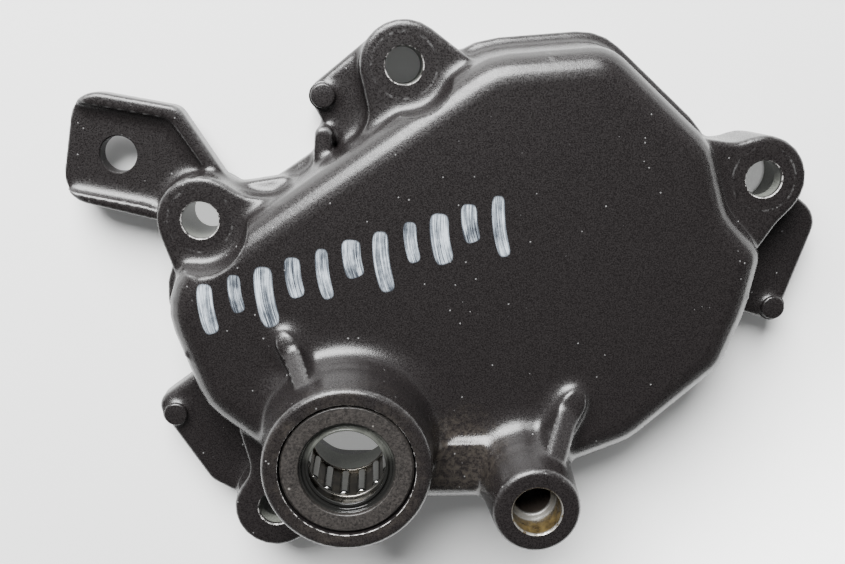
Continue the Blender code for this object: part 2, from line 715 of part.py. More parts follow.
def seal():
    outer = SEAL_OUTER_DIAMETER / 2
    skin = SEAL_SKIN_SHARE * SEAL_SECTION
    case_thickness = SEAL_CASE_SHARE * SEAL_SECTION
    wire_radius = SEAL_WIRE_SHARE * SEAL_SECTION
    mouth = outer - SEAL_FACE_SHARE * SEAL_SECTION
    lip = SHAFT_DIAMETER / 2 - SEAL_LIP_SQUEEZE
    heel = lip + skin + wire_radius
    lip_height = SEAL_FRONT - SEAL_LIP_DEPTH
    groove_height = SEAL_FRONT - SEAL_GROOVE_DEPTH
    roof = SEAL_FRONT - SEAL_ROOF_DEPTH
    channel = outer - skin
    rubber = turned("seal_rubber", [
        (outer, SEAL_BACK),
        (outer, SEAL_FRONT - SEAL_EDGE),
        (outer - SEAL_EDGE, SEAL_FRONT),
        (mouth, SEAL_FRONT),
        (mouth - SEAL_EDGE, lip_height + SEAL_EDGE),
        (lip, lip_height),
        (lip + SEAL_EDGE / 2, lip_height - 3 * SEAL_EDGE),
        (heel - SEAL_EDGE / 2, groove_height),
        (heel, groove_height),
        (heel, groove_height + 3 * SEAL_EDGE),
        (mouth, roof),
        (channel, roof),
        (channel, SEAL_BACK),
    ])
    rubber.data.materials.append(material("seal_black_rubber", (0.012, 0.012, 0.012), 0.42, 0.0))
    case_outer = channel - SEAT_GAP
    case_inner = case_outer - case_thickness
    case_top = roof - SEAT_GAP
    case = turned("seal_case", [
        (case_outer, SEAL_BACK),
        (case_outer, case_top),
        (mouth + SEAT_GAP, case_top),
        (mouth + SEAT_GAP, case_top - case_thickness),
        (case_inner, case_top - case_thickness),
        (case_inner, SEAL_BACK),
    ])
    case.data.materials.append(material("seal_steel", (0.45, 0.45, 0.44), 0.4, 1.0))
    spring_radius = heel + SEAT_GAP + wire_radius
    spring_height = SEAL_BACK + 2 * wire_radius
    spring = turned("seal_spring", [
        (spring_radius + wire_radius * math.cos(2 * math.pi * k / 6),
         spring_height + wire_radius * math.sin(2 * math.pi * k / 6)) for k in range(6)
    ], count=SPRING_STEPS)
    spring.data.materials.append(material("spring_steel", (0.5, 0.5, 0.5), 0.35, 1.0))


def cage_windows(pocket_width, pocket_length):
    # One block for each roller's window in the cage
    mesh = bpy.data.meshes.new("cage_windows")
    grid = bmesh.new()
    size = Matrix.Diagonal((4 * CAGE_THICKNESS, pocket_width, pocket_length, 1.0))
    for k in range(ROLLER_COUNT):
        spin = Matrix.Rotation(2 * math.pi * k / ROLLER_COUNT, 4, "Z")
        place = spin @ Matrix.Translation((PITCH_RADIUS, 0, 0))
        bmesh.ops.create_cube(grid, size=1.0, matrix=place @ size)
    grid.to_mesh(mesh)
    grid.free()
    windows = bpy.data.objects.new("cage_windows", mesh)
    bpy.context.collection.objects.link(windows)
    return windows


def bearing():
    lip = SHAFT_DIAMETER / 2 + CUP_LIP_CLEARANCE
    cup = turned("bearing_cup", [
        (CUP_RADIUS, CUP_BACK + CUP_CORNER),
        (CUP_RADIUS, CUP_FRONT - CUP_CORNER),
        (CUP_RADIUS - CUP_CORNER, CUP_FRONT),
        (lip, CUP_FRONT),
        (lip, CUP_FRONT - CUP_LIP),
        (RACEWAY_RADIUS, CUP_FRONT - CUP_LIP),
        (RACEWAY_RADIUS, CUP_BACK + CUP_LIP),
        (lip, CUP_BACK + CUP_LIP),
        (lip, CUP_BACK),
        (CUP_RADIUS - CUP_CORNER, CUP_BACK),
    ], count=CAGE_STEPS)
    cup.data.materials.append(material("bearing_steel", (0.55, 0.55, 0.53), 0.25, 1.0))
    axis = bpy.data.objects.new("cage_axis", None)
    axis.location = (*SHAFT_AT, (CUP_FRONT + CUP_BACK) / 2)
    bpy.context.collection.objects.link(axis)
    cage_half = CUP_LENGTH / 2 - CUP_LIP - END_CLEARANCE
    inner = PITCH_RADIUS - CAGE_THICKNESS / 2
    outer = PITCH_RADIUS + CAGE_THICKNESS / 2
    cage = turned("bearing_cage", [
        (outer, -cage_half), (outer, cage_half), (inner, cage_half), (inner, -cage_half)])
    cage.parent = axis
    cage.data.materials.append(material("cage_steel", (0.3, 0.29, 0.27), 0.4, 1.0))
    roller_radius = ROLLER_DIAMETER / 2 - RUNNING_CLEARANCE
    windows = cage_windows(2 * (roller_radius + RUNNING_CLEARANCE), ROLLER_LENGTH + 2 * END_CLEARANCE)
    windows.parent = axis
    cut(cage, windows)
    half = ROLLER_LENGTH / 2
    pattern = turned_plug("roller_01", [
        (roller_radius - ROLLER_CHAMFER, -half), (roller_radius, -half + ROLLER_CHAMFER),
        (roller_radius, half - ROLLER_CHAMFER), (roller_radius - ROLLER_CHAMFER, half),
    ], count=ROLLER_STEPS)
    pattern.data.materials.append(material("roller_steel", (0.7, 0.7, 0.68), 0.18, 1.0))
    for k in range(ROLLER_COUNT):
        roller = pattern
        if k > 0:
            roller = bpy.data.objects.new(f"roller_{k + 1:02d}", pattern.data)
            bpy.context.collection.objects.link(roller)
        angle = 2 * math.pi * k / ROLLER_COUNT
        roller.parent = cage
        roller.location = (PITCH_RADIUS * math.cos(angle), PITCH_RADIUS * math.sin(angle), 0.0)


def move_to_origin():
    # Puts the row's origin in the middle of the cover's outline
    for item in bpy.data.objects:
        if item.parent is None:
            item.location.x -= ORIGIN_AT[0]
            item.location.y -= ORIGIN_AT[1]


for item in list(bpy.data.objects):
    bpy.data.objects.remove(item, do_unlink=True)
cover_casting()
seal()
bearing()
move_to_origin()
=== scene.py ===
# Looks of the gear-shift side cover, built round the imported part
import json
import math

import bmesh
import bpy
import numpy as np
from mathutils import Matrix, Vector


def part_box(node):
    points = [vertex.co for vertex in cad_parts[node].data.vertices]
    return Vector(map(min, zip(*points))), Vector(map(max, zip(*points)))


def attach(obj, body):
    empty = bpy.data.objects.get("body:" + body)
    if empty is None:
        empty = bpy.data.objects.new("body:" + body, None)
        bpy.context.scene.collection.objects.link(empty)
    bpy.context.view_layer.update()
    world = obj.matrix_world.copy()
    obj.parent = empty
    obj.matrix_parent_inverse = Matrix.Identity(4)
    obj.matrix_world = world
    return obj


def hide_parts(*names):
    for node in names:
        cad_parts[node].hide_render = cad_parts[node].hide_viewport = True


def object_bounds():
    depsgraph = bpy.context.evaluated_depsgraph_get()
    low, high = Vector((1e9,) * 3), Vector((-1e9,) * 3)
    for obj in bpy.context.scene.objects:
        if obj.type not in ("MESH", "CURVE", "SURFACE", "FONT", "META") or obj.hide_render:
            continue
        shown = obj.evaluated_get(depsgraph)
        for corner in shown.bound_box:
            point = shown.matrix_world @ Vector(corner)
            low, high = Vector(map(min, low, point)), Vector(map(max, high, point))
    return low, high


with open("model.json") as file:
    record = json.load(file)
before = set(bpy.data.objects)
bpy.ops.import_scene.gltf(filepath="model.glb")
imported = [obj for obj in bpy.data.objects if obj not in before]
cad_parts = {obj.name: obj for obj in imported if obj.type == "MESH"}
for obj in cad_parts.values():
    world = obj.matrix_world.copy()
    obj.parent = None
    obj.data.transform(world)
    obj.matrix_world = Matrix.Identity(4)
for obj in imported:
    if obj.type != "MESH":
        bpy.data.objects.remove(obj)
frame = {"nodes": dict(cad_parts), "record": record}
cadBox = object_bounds()
record = frame["record"]
mm = 0.001
smoothAngle = 40
bodyOf = {node: body for body, nodes in record["behaviour"]["bodies"].items() for node in nodes}
mounts = {row["name"]: Vector(row["pos_m"]) for row in record["mounts"]}
openings = {
    row["name"]: [Vector(corner) for corner in row["box_m"]]
    for row in record["physics"]["openings"]
}


def middle(low, high):
    return (low + high) / 2


def holeAt(name):
    return middle(*openings[name]).xy


def nodeSize(name):
    low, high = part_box(name)
    return high - low


# Places that the frame gives
shaftAt = middle(*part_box("bearing_cup")).xy
smallBossAt = holeAt("small_boss_hole")
frontHeight = mounts["shaft_boss_front"].z
lugHeight = mounts["screw_seat_left"].z
bracketHeight = mounts["bracket_face"].z
sealLow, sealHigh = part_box("seal_rubber")
cupLow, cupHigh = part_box("bearing_cup")
cageLow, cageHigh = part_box("bearing_cage")
sealRadius = nodeSize("seal_rubber").x / 2
cupRadius = nodeSize("bearing_cup").x / 2
lugHoles = ("lug_left_hole", "lug_top_hole", "lug_right_hole", "lug_low_hole")
rollers = sorted(node for node in bodyOf if node.startswith("roller_"))


# Mesh helpers

def newPiece(name, data):
    piece = bpy.data.objects.new(name, data)
    bpy.context.scene.collection.objects.link(piece)
    return piece


def settle(piece):
    # Turns what the modifiers make into a plain mesh
    graph = bpy.context.evaluated_depsgraph_get()
    mesh = bpy.data.meshes.new_from_object(piece.evaluated_get(graph))
    piece.modifiers.clear()
    piece.data = mesh
    return piece


def discard(*pieces):
    for piece in pieces:
        bpy.data.objects.remove(piece, do_unlink=True)


def smoothOver(mesh, degrees):
    mesh.shade_smooth()
    mesh.set_sharp_from_angle(angle=math.radians(degrees))


def roundedProfile(corners, steps):
    # Corners are r, z and a radius; each radius becomes an arc
    points = []
    for i, (r, z, radius) in enumerate(corners):
        spot = Vector((r, z))
        if radius <= 0:
            points.append(spot)
            continue
        before = (Vector(corners[i - 1][:2]) - spot).normalized()
        after = (Vector(corners[(i + 1) % len(corners)][:2]) - spot).normalized()
        half = before.angle(after) / 2
        reach = radius / math.tan(half)
        centre = spot + (before + after).normalized() * (radius / math.sin(half))
        first = spot + before * reach - centre
        last = spot + after * reach - centre
        turn = math.atan2(first.cross(last), first.dot(last))
        for k in range(steps + 1):
            points.append(centre + Matrix.Rotation(turn * k / steps, 2) @ first)
    return [tuple(point) for point in points]


def turnedGrid(grid, profile, at, steps, closed, material=0):
    # Adds a body turned about the upright through a point; an open profile gets flat ends
    rings = []
    for k in range(steps):
        angle = 2 * math.pi * k / steps
        rings.append([
            grid.verts.new((at[0] + r * math.cos(angle), at[1] + r * math.sin(angle), z))
            for r, z in profile
        ])
    count = len(profile)
    for k in range(steps):
        near = rings[(k + 1) % steps]
        for i in range(count if closed else count - 1):
            after = (i + 1) % count
            face = grid.faces.new([rings[k][i], near[i], near[after], rings[k][after]])
            face.material_index = material
    if not closed:
        grid.faces.new([ring[0] for ring in reversed(rings)]).material_index = material
        grid.faces.new([ring[-1] for ring in rings]).material_index = material


def meshFrom(name, grid):
    bmesh.ops.recalc_face_normals(grid, faces=grid.faces)
    mesh = bpy.data.meshes.new(name)
    grid.to_mesh(mesh)
    grid.free()
    return mesh


def turnedPiece(name, profile, steps, finish):
    # Closed ring round the shaft's axis
    grid = bmesh.new()
    turnedGrid(grid, profile, shaftAt, steps, True)
    mesh = meshFrom(name, grid)
    smoothOver(mesh, smoothAngle)
    mesh.materials.append(finish)
    return newPiece(name, mesh)


def standFor(piece, node):
    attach(piece, bodyOf[node])
    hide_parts(node)
    return piece


def keepValues(mesh, name, values):
    mesh.attributes.new(name, "FLOAT", "POINT").data.foreach_set("value", values)


# Node helpers

def put(tree, kind, sockets=None, **settings):
    # Adds a node with its settings, and fills or links its inputs by name or place
    node = tree.nodes.new(kind)
    for label, value in settings.items():
        setattr(node, label, value)
    for key, value in (sockets or {}).items():
        if isinstance(value, bpy.types.NodeSocket):
            tree.links.new(value, node.inputs[key])
        else:
            node.inputs[key].default_value = value
    return node


def geometry(tree, kind, sockets=None, **settings):
    return put(tree, "GeometryNode" + kind, sockets, **settings).outputs[0]


def maths(tree, operation, *values):
    return put(tree, "ShaderNodeMath", dict(enumerate(values)), operation=operation).outputs[0]


def vectorMaths(tree, operation, *values):
    return put(tree, "ShaderNodeVectorMath", dict(enumerate(values)), operation=operation)


def ramp(tree, value, low, high, start=0.0, end=1.0):
    # Soft step from start to end while the value runs from low to high
    return put(tree, "ShaderNodeMapRange", {0: value, 1: low, 2: high, 3: start, 4: end},
               interpolation_type="SMOOTHSTEP").outputs[0]


def mixed(tree, share, under, over):
    return put(tree, "ShaderNodeMix", {0: share, 6: under, 7: over}, data_type="RGBA").outputs[2]


def noise(tree, where, scale, detail=2.0, roughness=0.5):
    return put(tree, "ShaderNodeTexNoise", {
        "Vector": where, "Scale": scale, "Detail": detail, "Roughness": roughness}).outputs["Fac"]


def objectPlace(tree):
    return put(tree, "ShaderNodeTexCoord").outputs["Object"]


def newGroup(name, inputs, outputs, treeKind="ShaderNodeTree"):
    # Sockets are a label and a kind, inputs also a default value
    tree = bpy.data.node_groups.new(name, treeKind)
    for label, kind, value in inputs:
        socket = tree.interface.new_socket(label, in_out="INPUT", socket_type="NodeSocket" + kind)
        if value is not None:
            socket.default_value = value
    for label, kind in outputs:
        tree.interface.new_socket(label, in_out="OUTPUT", socket_type="NodeSocket" + kind)
    return tree, tree.nodes.new("NodeGroupInput").outputs, tree.nodes.new("NodeGroupOutput").inputs


def effect(tree, group, sockets=None):
    return put(tree, "ShaderNodeGroup", sockets, node_tree=group).outputs


def vectorOf(tree, *axes):
    return put(tree, "ShaderNodeCombineXYZ", dict(enumerate(axes))).outputs[0]


def axesOf(tree, vector):
    return put(tree, "ShaderNodeSeparateXYZ", {0: vector}).outputs


def product(tree, first, second):
    return maths(tree, "MULTIPLY", first, second)


def less(tree, first, second):
    return maths(tree, "SUBTRACT", first, second)


def grown(name, tree, values, mesh=None):
    # Runs a Geometry Nodes tree with its named inputs and keeps the plain mesh
    piece = newPiece(name, mesh or bpy.data.meshes.new(name))
    step = piece.modifiers.new(tree.name, "NODES")
    step.node_group = tree
    for item in tree.interface.items_tree:
        if item.in_out == "INPUT" and item.name in values:
            step[item.identifier] = values[item.name]
    return settle(piece)


def growGroup(name, inputs):
    # A Geometry Nodes group, which also takes its finish
    inputs = inputs + [("Finish", "Material", None)]
    return newGroup(name, inputs, [("Mesh", "Geometry")], "GeometryNodeTree")


def finished(tree, parts, given, result):
    # Ends a Geometry Nodes tree with real geometry and its material
    mesh = geometry(tree, "RealizeInstances", {"Geometry": parts})
    mesh = geometry(tree, "SetMaterial", {"Geometry": mesh, "Material": given["Finish"]})
    tree.links.new(mesh, result["Mesh"])
    return tree


# Effects that several finishes use

def grainGroup():
    # Fine orange-peel grain with scattered bright specks: painted glints on the coat, dust on the seal
    tree, given, result = newGroup("grain", [("Scale", "Float", 1.0)], [
        ("Grain", "Float"), ("SpeckAndGlint", "Float"), ("Height", "Float")])
    place = objectPlace(tree)
    fine = noise(tree, place, product(tree, given["Scale"], 3900.0), 2.0, 0.75)
    coarse = noise(tree, place, product(tree, given["Scale"], 1100.0), 1.0)
    cells = put(tree, "ShaderNodeTexVoronoi", {
        "Vector": place, "Scale": product(tree, given["Scale"], 2100.0)})
    draw = put(tree, "ShaderNodeSeparateColor", {0: cells.outputs["Color"]}).outputs[0]
    chosen = ramp(tree, draw, 0.993, 0.996)
    near = ramp(tree, cells.outputs["Distance"], 0.42, 0.2)
    tree.links.new(ramp(tree, fine, 0.3, 0.7), result["Grain"])
    tree.links.new(product(tree, chosen, near), result["SpeckAndGlint"])
    tree.links.new(maths(tree, "ADD", fine, product(tree, coarse, 0.6)), result["Height"])
    return tree


def edgeGroup():
    # Rubbed line along convex edges, partly wear and partly a painted highlight, from the ridge values
    # kept in the mesh
    tree, given, result = newGroup("edgeRubAndSheen", [
        ("From", "Float", 0.3), ("To", "Float", 0.8)], [
        ("Line", "Float"), ("Chip", "Float")])
    ridge = put(tree, "ShaderNodeAttribute", attribute_name="ridge").outputs["Fac"]
    place = objectPlace(tree)
    line = ramp(tree, ridge, given["From"], given["To"])
    worn = noise(tree, place, 420.0, 3.0, 0.7)
    broken = ramp(tree, noise(tree, place, 1500.0, 2.0, 0.7), 0.42, 0.62)
    tree.links.new(product(tree, line, ramp(tree, worn, 0.25, 0.6, 0.35, 1.0)), result["Line"])
    chip = product(tree, product(tree, line, ramp(tree, worn, 0.62, 0.72)), broken)
    tree.links.new(chip, result["Chip"])
    return tree


def patchGroup():
    # Soft-edged blot round a point, broken up by noise
    tree, given, result = newGroup("patch", [
        ("Centre", "Vector", None), ("Radius", "Float", 0.01),
        ("Scale", "Float", 200.0)], [("Mask", "Float")])
    place = objectPlace(tree)
    away = vectorMaths(tree, "DISTANCE", place, given["Centre"]).outputs["Value"]
    reach = maths(tree, "DIVIDE", away, given["Radius"])
    wander = maths(tree, "MULTIPLY_ADD", noise(tree, place, given["Scale"], 3.0, 0.6), 1.1, reach)
    tree.links.new(ramp(tree, wander, 1.75, 1.05), result["Mask"])
    return tree


def ringGroup():
    # Faint broken circle that a screw's washer leaves
    tree, given, result = newGroup("washerRing", [
        ("Centre", "Vector", None), ("Radius", "Float", 0.006)], [
        ("Mask", "Float")])
    place = objectPlace(tree)
    away = vectorMaths(tree, "DISTANCE", place, given["Centre"]).outputs["Value"]
    off = maths(tree, "ABSOLUTE", less(tree, away, given["Radius"]))
    broken = ramp(tree, noise(tree, place, 1100.0, 2.0, 0.7), 0.45, 0.6)
    patchy = ramp(tree, noise(tree, place, 260.0), 0.4, 0.6)
    line = product(tree, ramp(tree, off, 0.3 * mm, 0.08 * mm), broken)
    tree.links.new(product(tree, line, patchy), result["Mask"])
    return tree


def turnedMarksGroup():
    # Fine circles that a lathe or a turning shaft leaves about the shaft's axis
    tree, given, result = newGroup("turnedMarks", [("Scale", "Float", 3000.0)], [
        ("Marks", "Float"), ("Radius", "Float")])
    place = axesOf(tree, vectorMaths(
        tree, "SUBTRACT", objectPlace(tree), (shaftAt.x, shaftAt.y, 0.0)).outputs[0])
    squares = maths(tree, "ADD", product(tree, place[0], place[0]), product(tree, place[1], place[1]))
    radius = maths(tree, "SQRT", squares)
    where = vectorOf(tree, radius, 0.0, place[2])
    tree.links.new(noise(tree, where, given["Scale"], 2.0, 0.6), result["Marks"])
    tree.links.new(radius, result["Radius"])
    return tree


grain = grainGroup()
edgeRubAndSheen = edgeGroup()
patch = patchGroup()
washerRing = ringGroup()
turnedMarks = turnedMarksGroup()


# Finishes

def newFinish(name, roughness=0.5, metallic=0.0):
    finish = bpy.data.materials.new(name)
    finish.use_nodes = True
    tree = finish.node_tree
    shader = tree.nodes["Principled BSDF"]
    shader.inputs["Roughness"].default_value = roughness
    shader.inputs["Metallic"].default_value = metallic
    return finish, tree, shader


def feed(tree, shader, colour=None, roughness=None, metallic=None, height=None, strength=0.3,
         distance=0.05 * mm):
    for label, value in (("Base Color", colour), ("Roughness", roughness), ("Metallic", metallic)):
        if value is not None:
            tree.links.new(value, shader.inputs[label])
    if height is not None:
        bump = put(tree, "ShaderNodeBump", {
            "Strength": strength, "Distance": distance, "Height": height})
        tree.links.new(bump.outputs[0], shader.inputs["Normal"])


powderLooks = {
    "dark": (0.0042, 0.0034, 0.0035, 1),
    "light": (0.0125, 0.0108, 0.0108, 1),
    "speckAndGlint": (0.16, 0.16, 0.16, 1),
    "edge": (0.12, 0.12, 0.12, 1),
    "edgeRange": (0.55, 1.3),
    "edgeShare": 0.6,
    "chip": (0.4, 0.39, 0.38, 1),
    "chipMetal": 0.8,
    "dust": (0.03, 0.026, 0.022, 1),
    "dustShine": 0.1,
    "webDustAt": (21.5 * mm, -4.5 * mm, 23.0 * mm),
    "webDustRadius": 10.5 * mm,
    "frontDustRadius": 14.0 * mm,
    "ringRadius": 6.1 * mm,
    "ringShare": 0.35,
    "roughness": (0.24, 0.36),
    "bump": 0.5,
    "bumpHeight": 0.055 * mm,
}


def powderDust(tree, at, radius, scale, fine):
    # Speckled dust round a point, as its whole blot and its broken-up share
    x, y, z = at
    blot = effect(tree, patch, {
        "Centre": (shaftAt.x + x, shaftAt.y + y, z), "Radius": radius, "Scale": scale})["Mask"]
    return blot, product(tree, blot, fine)


def powderFinish():
    looks = powderLooks
    finish, tree, shader = newFinish("powderCoat")
    place = objectPlace(tree)
    powder = effect(tree, grain, {"Scale": 1.0})
    edges = effect(tree, edgeRubAndSheen, {"From": looks["edgeRange"][0], "To": looks["edgeRange"][1]})
    colour = mixed(tree, powder["Grain"], looks["dark"], looks["light"])
    fine = ramp(tree, noise(tree, place, 900.0, 3.0, 0.8), 0.35, 0.7)
    dust, speckled = powderDust(tree, looks["webDustAt"], looks["webDustRadius"], 320.0, fine)
    colour = mixed(tree, speckled, colour, looks["dust"])
    fine = ramp(tree, noise(tree, place, 1300.0, 4.0, 0.8), 0.3, 0.7)
    _, speckled = powderDust(tree, (0.0, 0.0, frontHeight), looks["frontDustRadius"], 260.0, fine)
    colour = mixed(tree, speckled, colour, looks["dust"])
    for name in lugHoles[:3]:
        at = holeAt(name)
        ring = effect(tree, washerRing, {
            "Centre": (at.x, at.y, lugHeight), "Radius": looks["ringRadius"]})
        colour = mixed(tree, product(tree, ring["Mask"], looks["ringShare"]), colour, looks["edge"])
    # Edge line: rubbed coat and a painted highlight along the convex edges
    colour = mixed(tree, product(tree, edges["Line"], looks["edgeShare"]), colour, looks["edge"])
    # Bright specks: painted glints of the coat's sparkle
    colour = mixed(tree, powder["SpeckAndGlint"], colour, looks["speckAndGlint"])
    colour = mixed(tree, edges["Chip"], colour, looks["chip"])
    rough = ramp(tree, powder["Grain"], 0.0, 1.0, *looks["roughness"])
    rough = less(tree, rough, product(tree, dust, looks["dustShine"]))
    metal = product(tree, edges["Chip"], looks["chipMetal"])
    feed(tree, shader, colour, rough, metal, powder["Height"], looks["bump"], looks["bumpHeight"])
    return finish


holeLooks = {
    "roughness": 0.36,
    # tones of the bare wall, painted pale grey-green as a reflection of the floor
    "bareReflectDark": (0.6, 0.63, 0.56),
    "bareReflectLight": (1.0, 1.05, 0.93),
    "coatEnd": 0.6 * mm,
    "rim": (0.3 * mm, 0.15 * mm),
    "bump": 0.5,
}


def holeFinish(name, mouth, bareReflectBelow, light):
    # Rubbed edge with a painted glint on the rim, black coat near the mouth, and bare metal deeper down
    # painted grey-green as a painted reflection of the pale floor
    finish, tree, shader = newFinish(name, holeLooks["roughness"])
    powder = effect(tree, grain, {"Scale": 0.8})
    place = objectPlace(tree)
    height = axesOf(tree, place)[2]
    coat = mixed(tree, powder["Grain"], powderLooks["dark"], powderLooks["light"])
    # Bare metal lower down, painted pale grey-green: a painted reflection of the floor
    dark, pale = [
        [light * part for part in holeLooks[key]] + [1] for key in ("bareReflectDark", "bareReflectLight")]
    bareReflect = mixed(tree, powder["Grain"], dark, pale)
    coated = ramp(tree, height, bareReflectBelow - holeLooks["coatEnd"], bareReflectBelow)
    colour = mixed(tree, coated, bareReflect, coat)
    # Broken bright line on the rim: rubbed coat and a painted glint
    rubAndGlint = ramp(tree, noise(tree, place, 1100.0, 3.0, 0.75), 0.42, 0.6)
    low, high = [mouth - depth for depth in holeLooks["rim"]]
    rim = product(tree, ramp(tree, height, low, high), rubAndGlint)
    colour = mixed(tree, rim, colour, powderLooks["chip"])
    feed(tree, shader, colour, None, None, powder["Height"], holeLooks["bump"])
    return finish


boreLooks = {
    "shoulderDepth": 6.3 * mm,
    "golden": (0.085, 0.06, 0.02, 1),
    "brown": (0.03, 0.021, 0.009, 1),
    "bright": (0.3, 0.295, 0.28, 1),
    # dark flecks on the wall, and painted shade down the hole
    "deepShadeAndFlecks": (0.045, 0.036, 0.03, 1),
    "wall": (0.1 * mm, 0.9 * mm),
    "floor": (0.9 * mm, 0.5 * mm),
    "rim": (0.75 * mm, 0.5 * mm),
    "roughness": (0.25, 0.5),
    "bump": 0.35,
    "bumpHeight": 0.06 * mm,
}


def boreFinish():
    # Bare counterbore: hole darkened below the shoulder as painted shade, bright shoulder, stained
    # golden wall with dark flecks and a chipped bright rim
    looks = boreLooks
    finish, tree, shader = newFinish("bareBore", 0.38)
    place = objectPlace(tree)
    height = axesOf(tree, place)[2]
    stain = noise(tree, place, 620.0, 4.0, 0.7)
    fine = noise(tree, place, 2200.0, 2.0, 0.7)
    shoulder = frontHeight - looks["shoulderDepth"]
    colour = mixed(tree, ramp(tree, stain, 0.35, 0.65), looks["brown"], looks["golden"])
    colour = mixed(tree, ramp(tree, fine, 0.62, 0.72), colour, looks["deepShadeAndFlecks"])
    wall = ramp(tree, height, *[shoulder + rise for rise in looks["wall"]])
    colour = mixed(tree, wall, looks["bright"], colour)
    # Below the shoulder the hole is darkened: painted shade
    above = ramp(tree, height, *[shoulder - depth for depth in looks["floor"]])
    colour = mixed(tree, above, looks["deepShadeAndFlecks"], colour)
    rim = ramp(tree, height, *[frontHeight - depth for depth in looks["rim"]])
    rim = product(tree, rim, ramp(tree, noise(tree, place, 1300.0, 3.0, 0.8), 0.38, 0.55))
    colour = mixed(tree, rim, colour, looks["bright"])
    metal = maths(tree, "MAXIMUM", rim, product(tree, above, less(tree, 1.0, wall)))
    metal = maths(tree, "MULTIPLY_ADD", metal, 0.5, 0.2)
    rough = ramp(tree, stain, 0.3, 0.7, *looks["roughness"])
    feed(tree, shader, colour, rough, metal, fine, looks["bump"], looks["bumpHeight"])
    return finish


gasketLooks = {
    "dark": (0.5, 0.5, 0.49, 1),
    "light": (0.68, 0.68, 0.67, 1),
    "stain": (0.22, 0.18, 0.13, 1),
    "stainShare": 0.6,
    "roughness": (0.28, 0.5),
    "bump": 0.2,
    "bumpHeight": 0.02 * mm,
}


def gasketFinish():
    # Milled face with fine straight marks and a few stains
    looks = gasketLooks
    finish, tree, shader = newFinish("gasketFace", 0.34, 1.0)
    place = objectPlace(tree)
    stretched = put(tree, "ShaderNodeMapping", {
        "Vector": place, "Scale": (1.0, 0.02, 1.0)}).outputs[0]
    marks = noise(tree, stretched, 5200.0, 2.0, 0.6)
    stain = ramp(tree, noise(tree, place, 120.0, 4.0, 0.6), 0.5, 0.75)
    colour = mixed(tree, marks, looks["dark"], looks["light"])
    colour = mixed(tree, product(tree, stain, looks["stainShare"]), colour, looks["stain"])
    rough = ramp(tree, stain, 0.0, 1.0, *looks["roughness"])
    feed(tree, shader, colour, rough, None, marks, looks["bump"], looks["bumpHeight"])
    return finish


sealLooks = {
    "dustDark": (0.006, 0.0053, 0.005, 1),
    "dustLight": (0.033, 0.0295, 0.027, 1),
    "oilDark": (0.004, 0.004, 0.004, 1),
    "oilLight": (0.012, 0.012, 0.011, 1),
    # pale grey of the lip's far wall: a painted reflection
    "lipReflection": (0.07, 0.073, 0.065, 1),
    "speckAndGlint": (0.16, 0.15, 0.14, 1),
    "dustyFrom": (8.35 * mm, 8.75 * mm),
    "lipReflectionFrom": (0.5 * mm, 5.0 * mm),
    "roughness": (0.14, 0.4),
    "bump": 0.5,
    "bumpHeight": 0.09 * mm,
}


def sealFinish():
    # Dull dusty rubber face, oily black inside, with a pale painted reflection on the lip's far side
    looks = sealLooks
    finish, tree, shader = newFinish("sealBlack")
    turned = effect(tree, turnedMarks, {"Scale": 2500.0})
    powder = effect(tree, grain, {"Scale": 0.7})
    place = objectPlace(tree)
    across = axesOf(tree, place)[1]
    outside = ramp(tree, turned["Radius"], *looks["dustyFrom"])
    fine = ramp(tree, noise(tree, place, 2400.0, 3.0, 0.8), 0.3, 0.7)
    dusty = mixed(tree, fine, looks["dustDark"], looks["dustLight"])
    oily = mixed(tree, turned["Marks"], looks["oilDark"], looks["oilLight"])
    # The lip's far side is painted pale: a painted reflection of the light
    far = ramp(tree, across, *[shaftAt.y + reach for reach in looks["lipReflectionFrom"]])
    lipReflectMask = product(tree, far, ramp(tree, noise(tree, place, 500.0, 3.0, 0.6), 0.2, 0.6, 0.6, 1.0))
    oily = mixed(tree, lipReflectMask, oily, looks["lipReflection"])
    colour = mixed(tree, outside, oily, dusty)
    colour = mixed(tree, powder["SpeckAndGlint"], colour, looks["speckAndGlint"])
    rough = ramp(tree, outside, 0.0, 1.0, *looks["roughness"])
    height = maths(tree, "ADD", noise(tree, place, 420.0), product(tree, powder["Height"], outside))
    feed(tree, shader, colour, rough, None, height, looks["bump"], looks["bumpHeight"])
    return finish


steelLooks = {
    "oil": (0.12, 0.095, 0.06, 1),
    "oilRoughness": 0.7,
    "bump": 0.15,
    "bumpHeight": 0.02 * mm,
}


def steelFinish(name, dark, light, roughness, scale, oil=0.5):
    # Turned steel with fine circles and patches of old oil
    looks = steelLooks
    finish, tree, shader = newFinish(name, roughness, 1.0)
    marks = effect(tree, turnedMarks, {"Scale": scale})["Marks"]
    oiled = ramp(tree, noise(tree, objectPlace(tree), 260.0, 3.0, 0.6), 0.4, 0.7)
    colour = mixed(tree, marks, dark, light)
    colour = mixed(tree, product(tree, oiled, oil), colour, looks["oil"])
    rough = ramp(tree, oiled, 0.0, 1.0, roughness, roughness * looks["oilRoughness"])
    feed(tree, shader, colour, rough, None, marks, looks["bump"], looks["bumpHeight"])
    return finish


powderCoat = powderFinish()
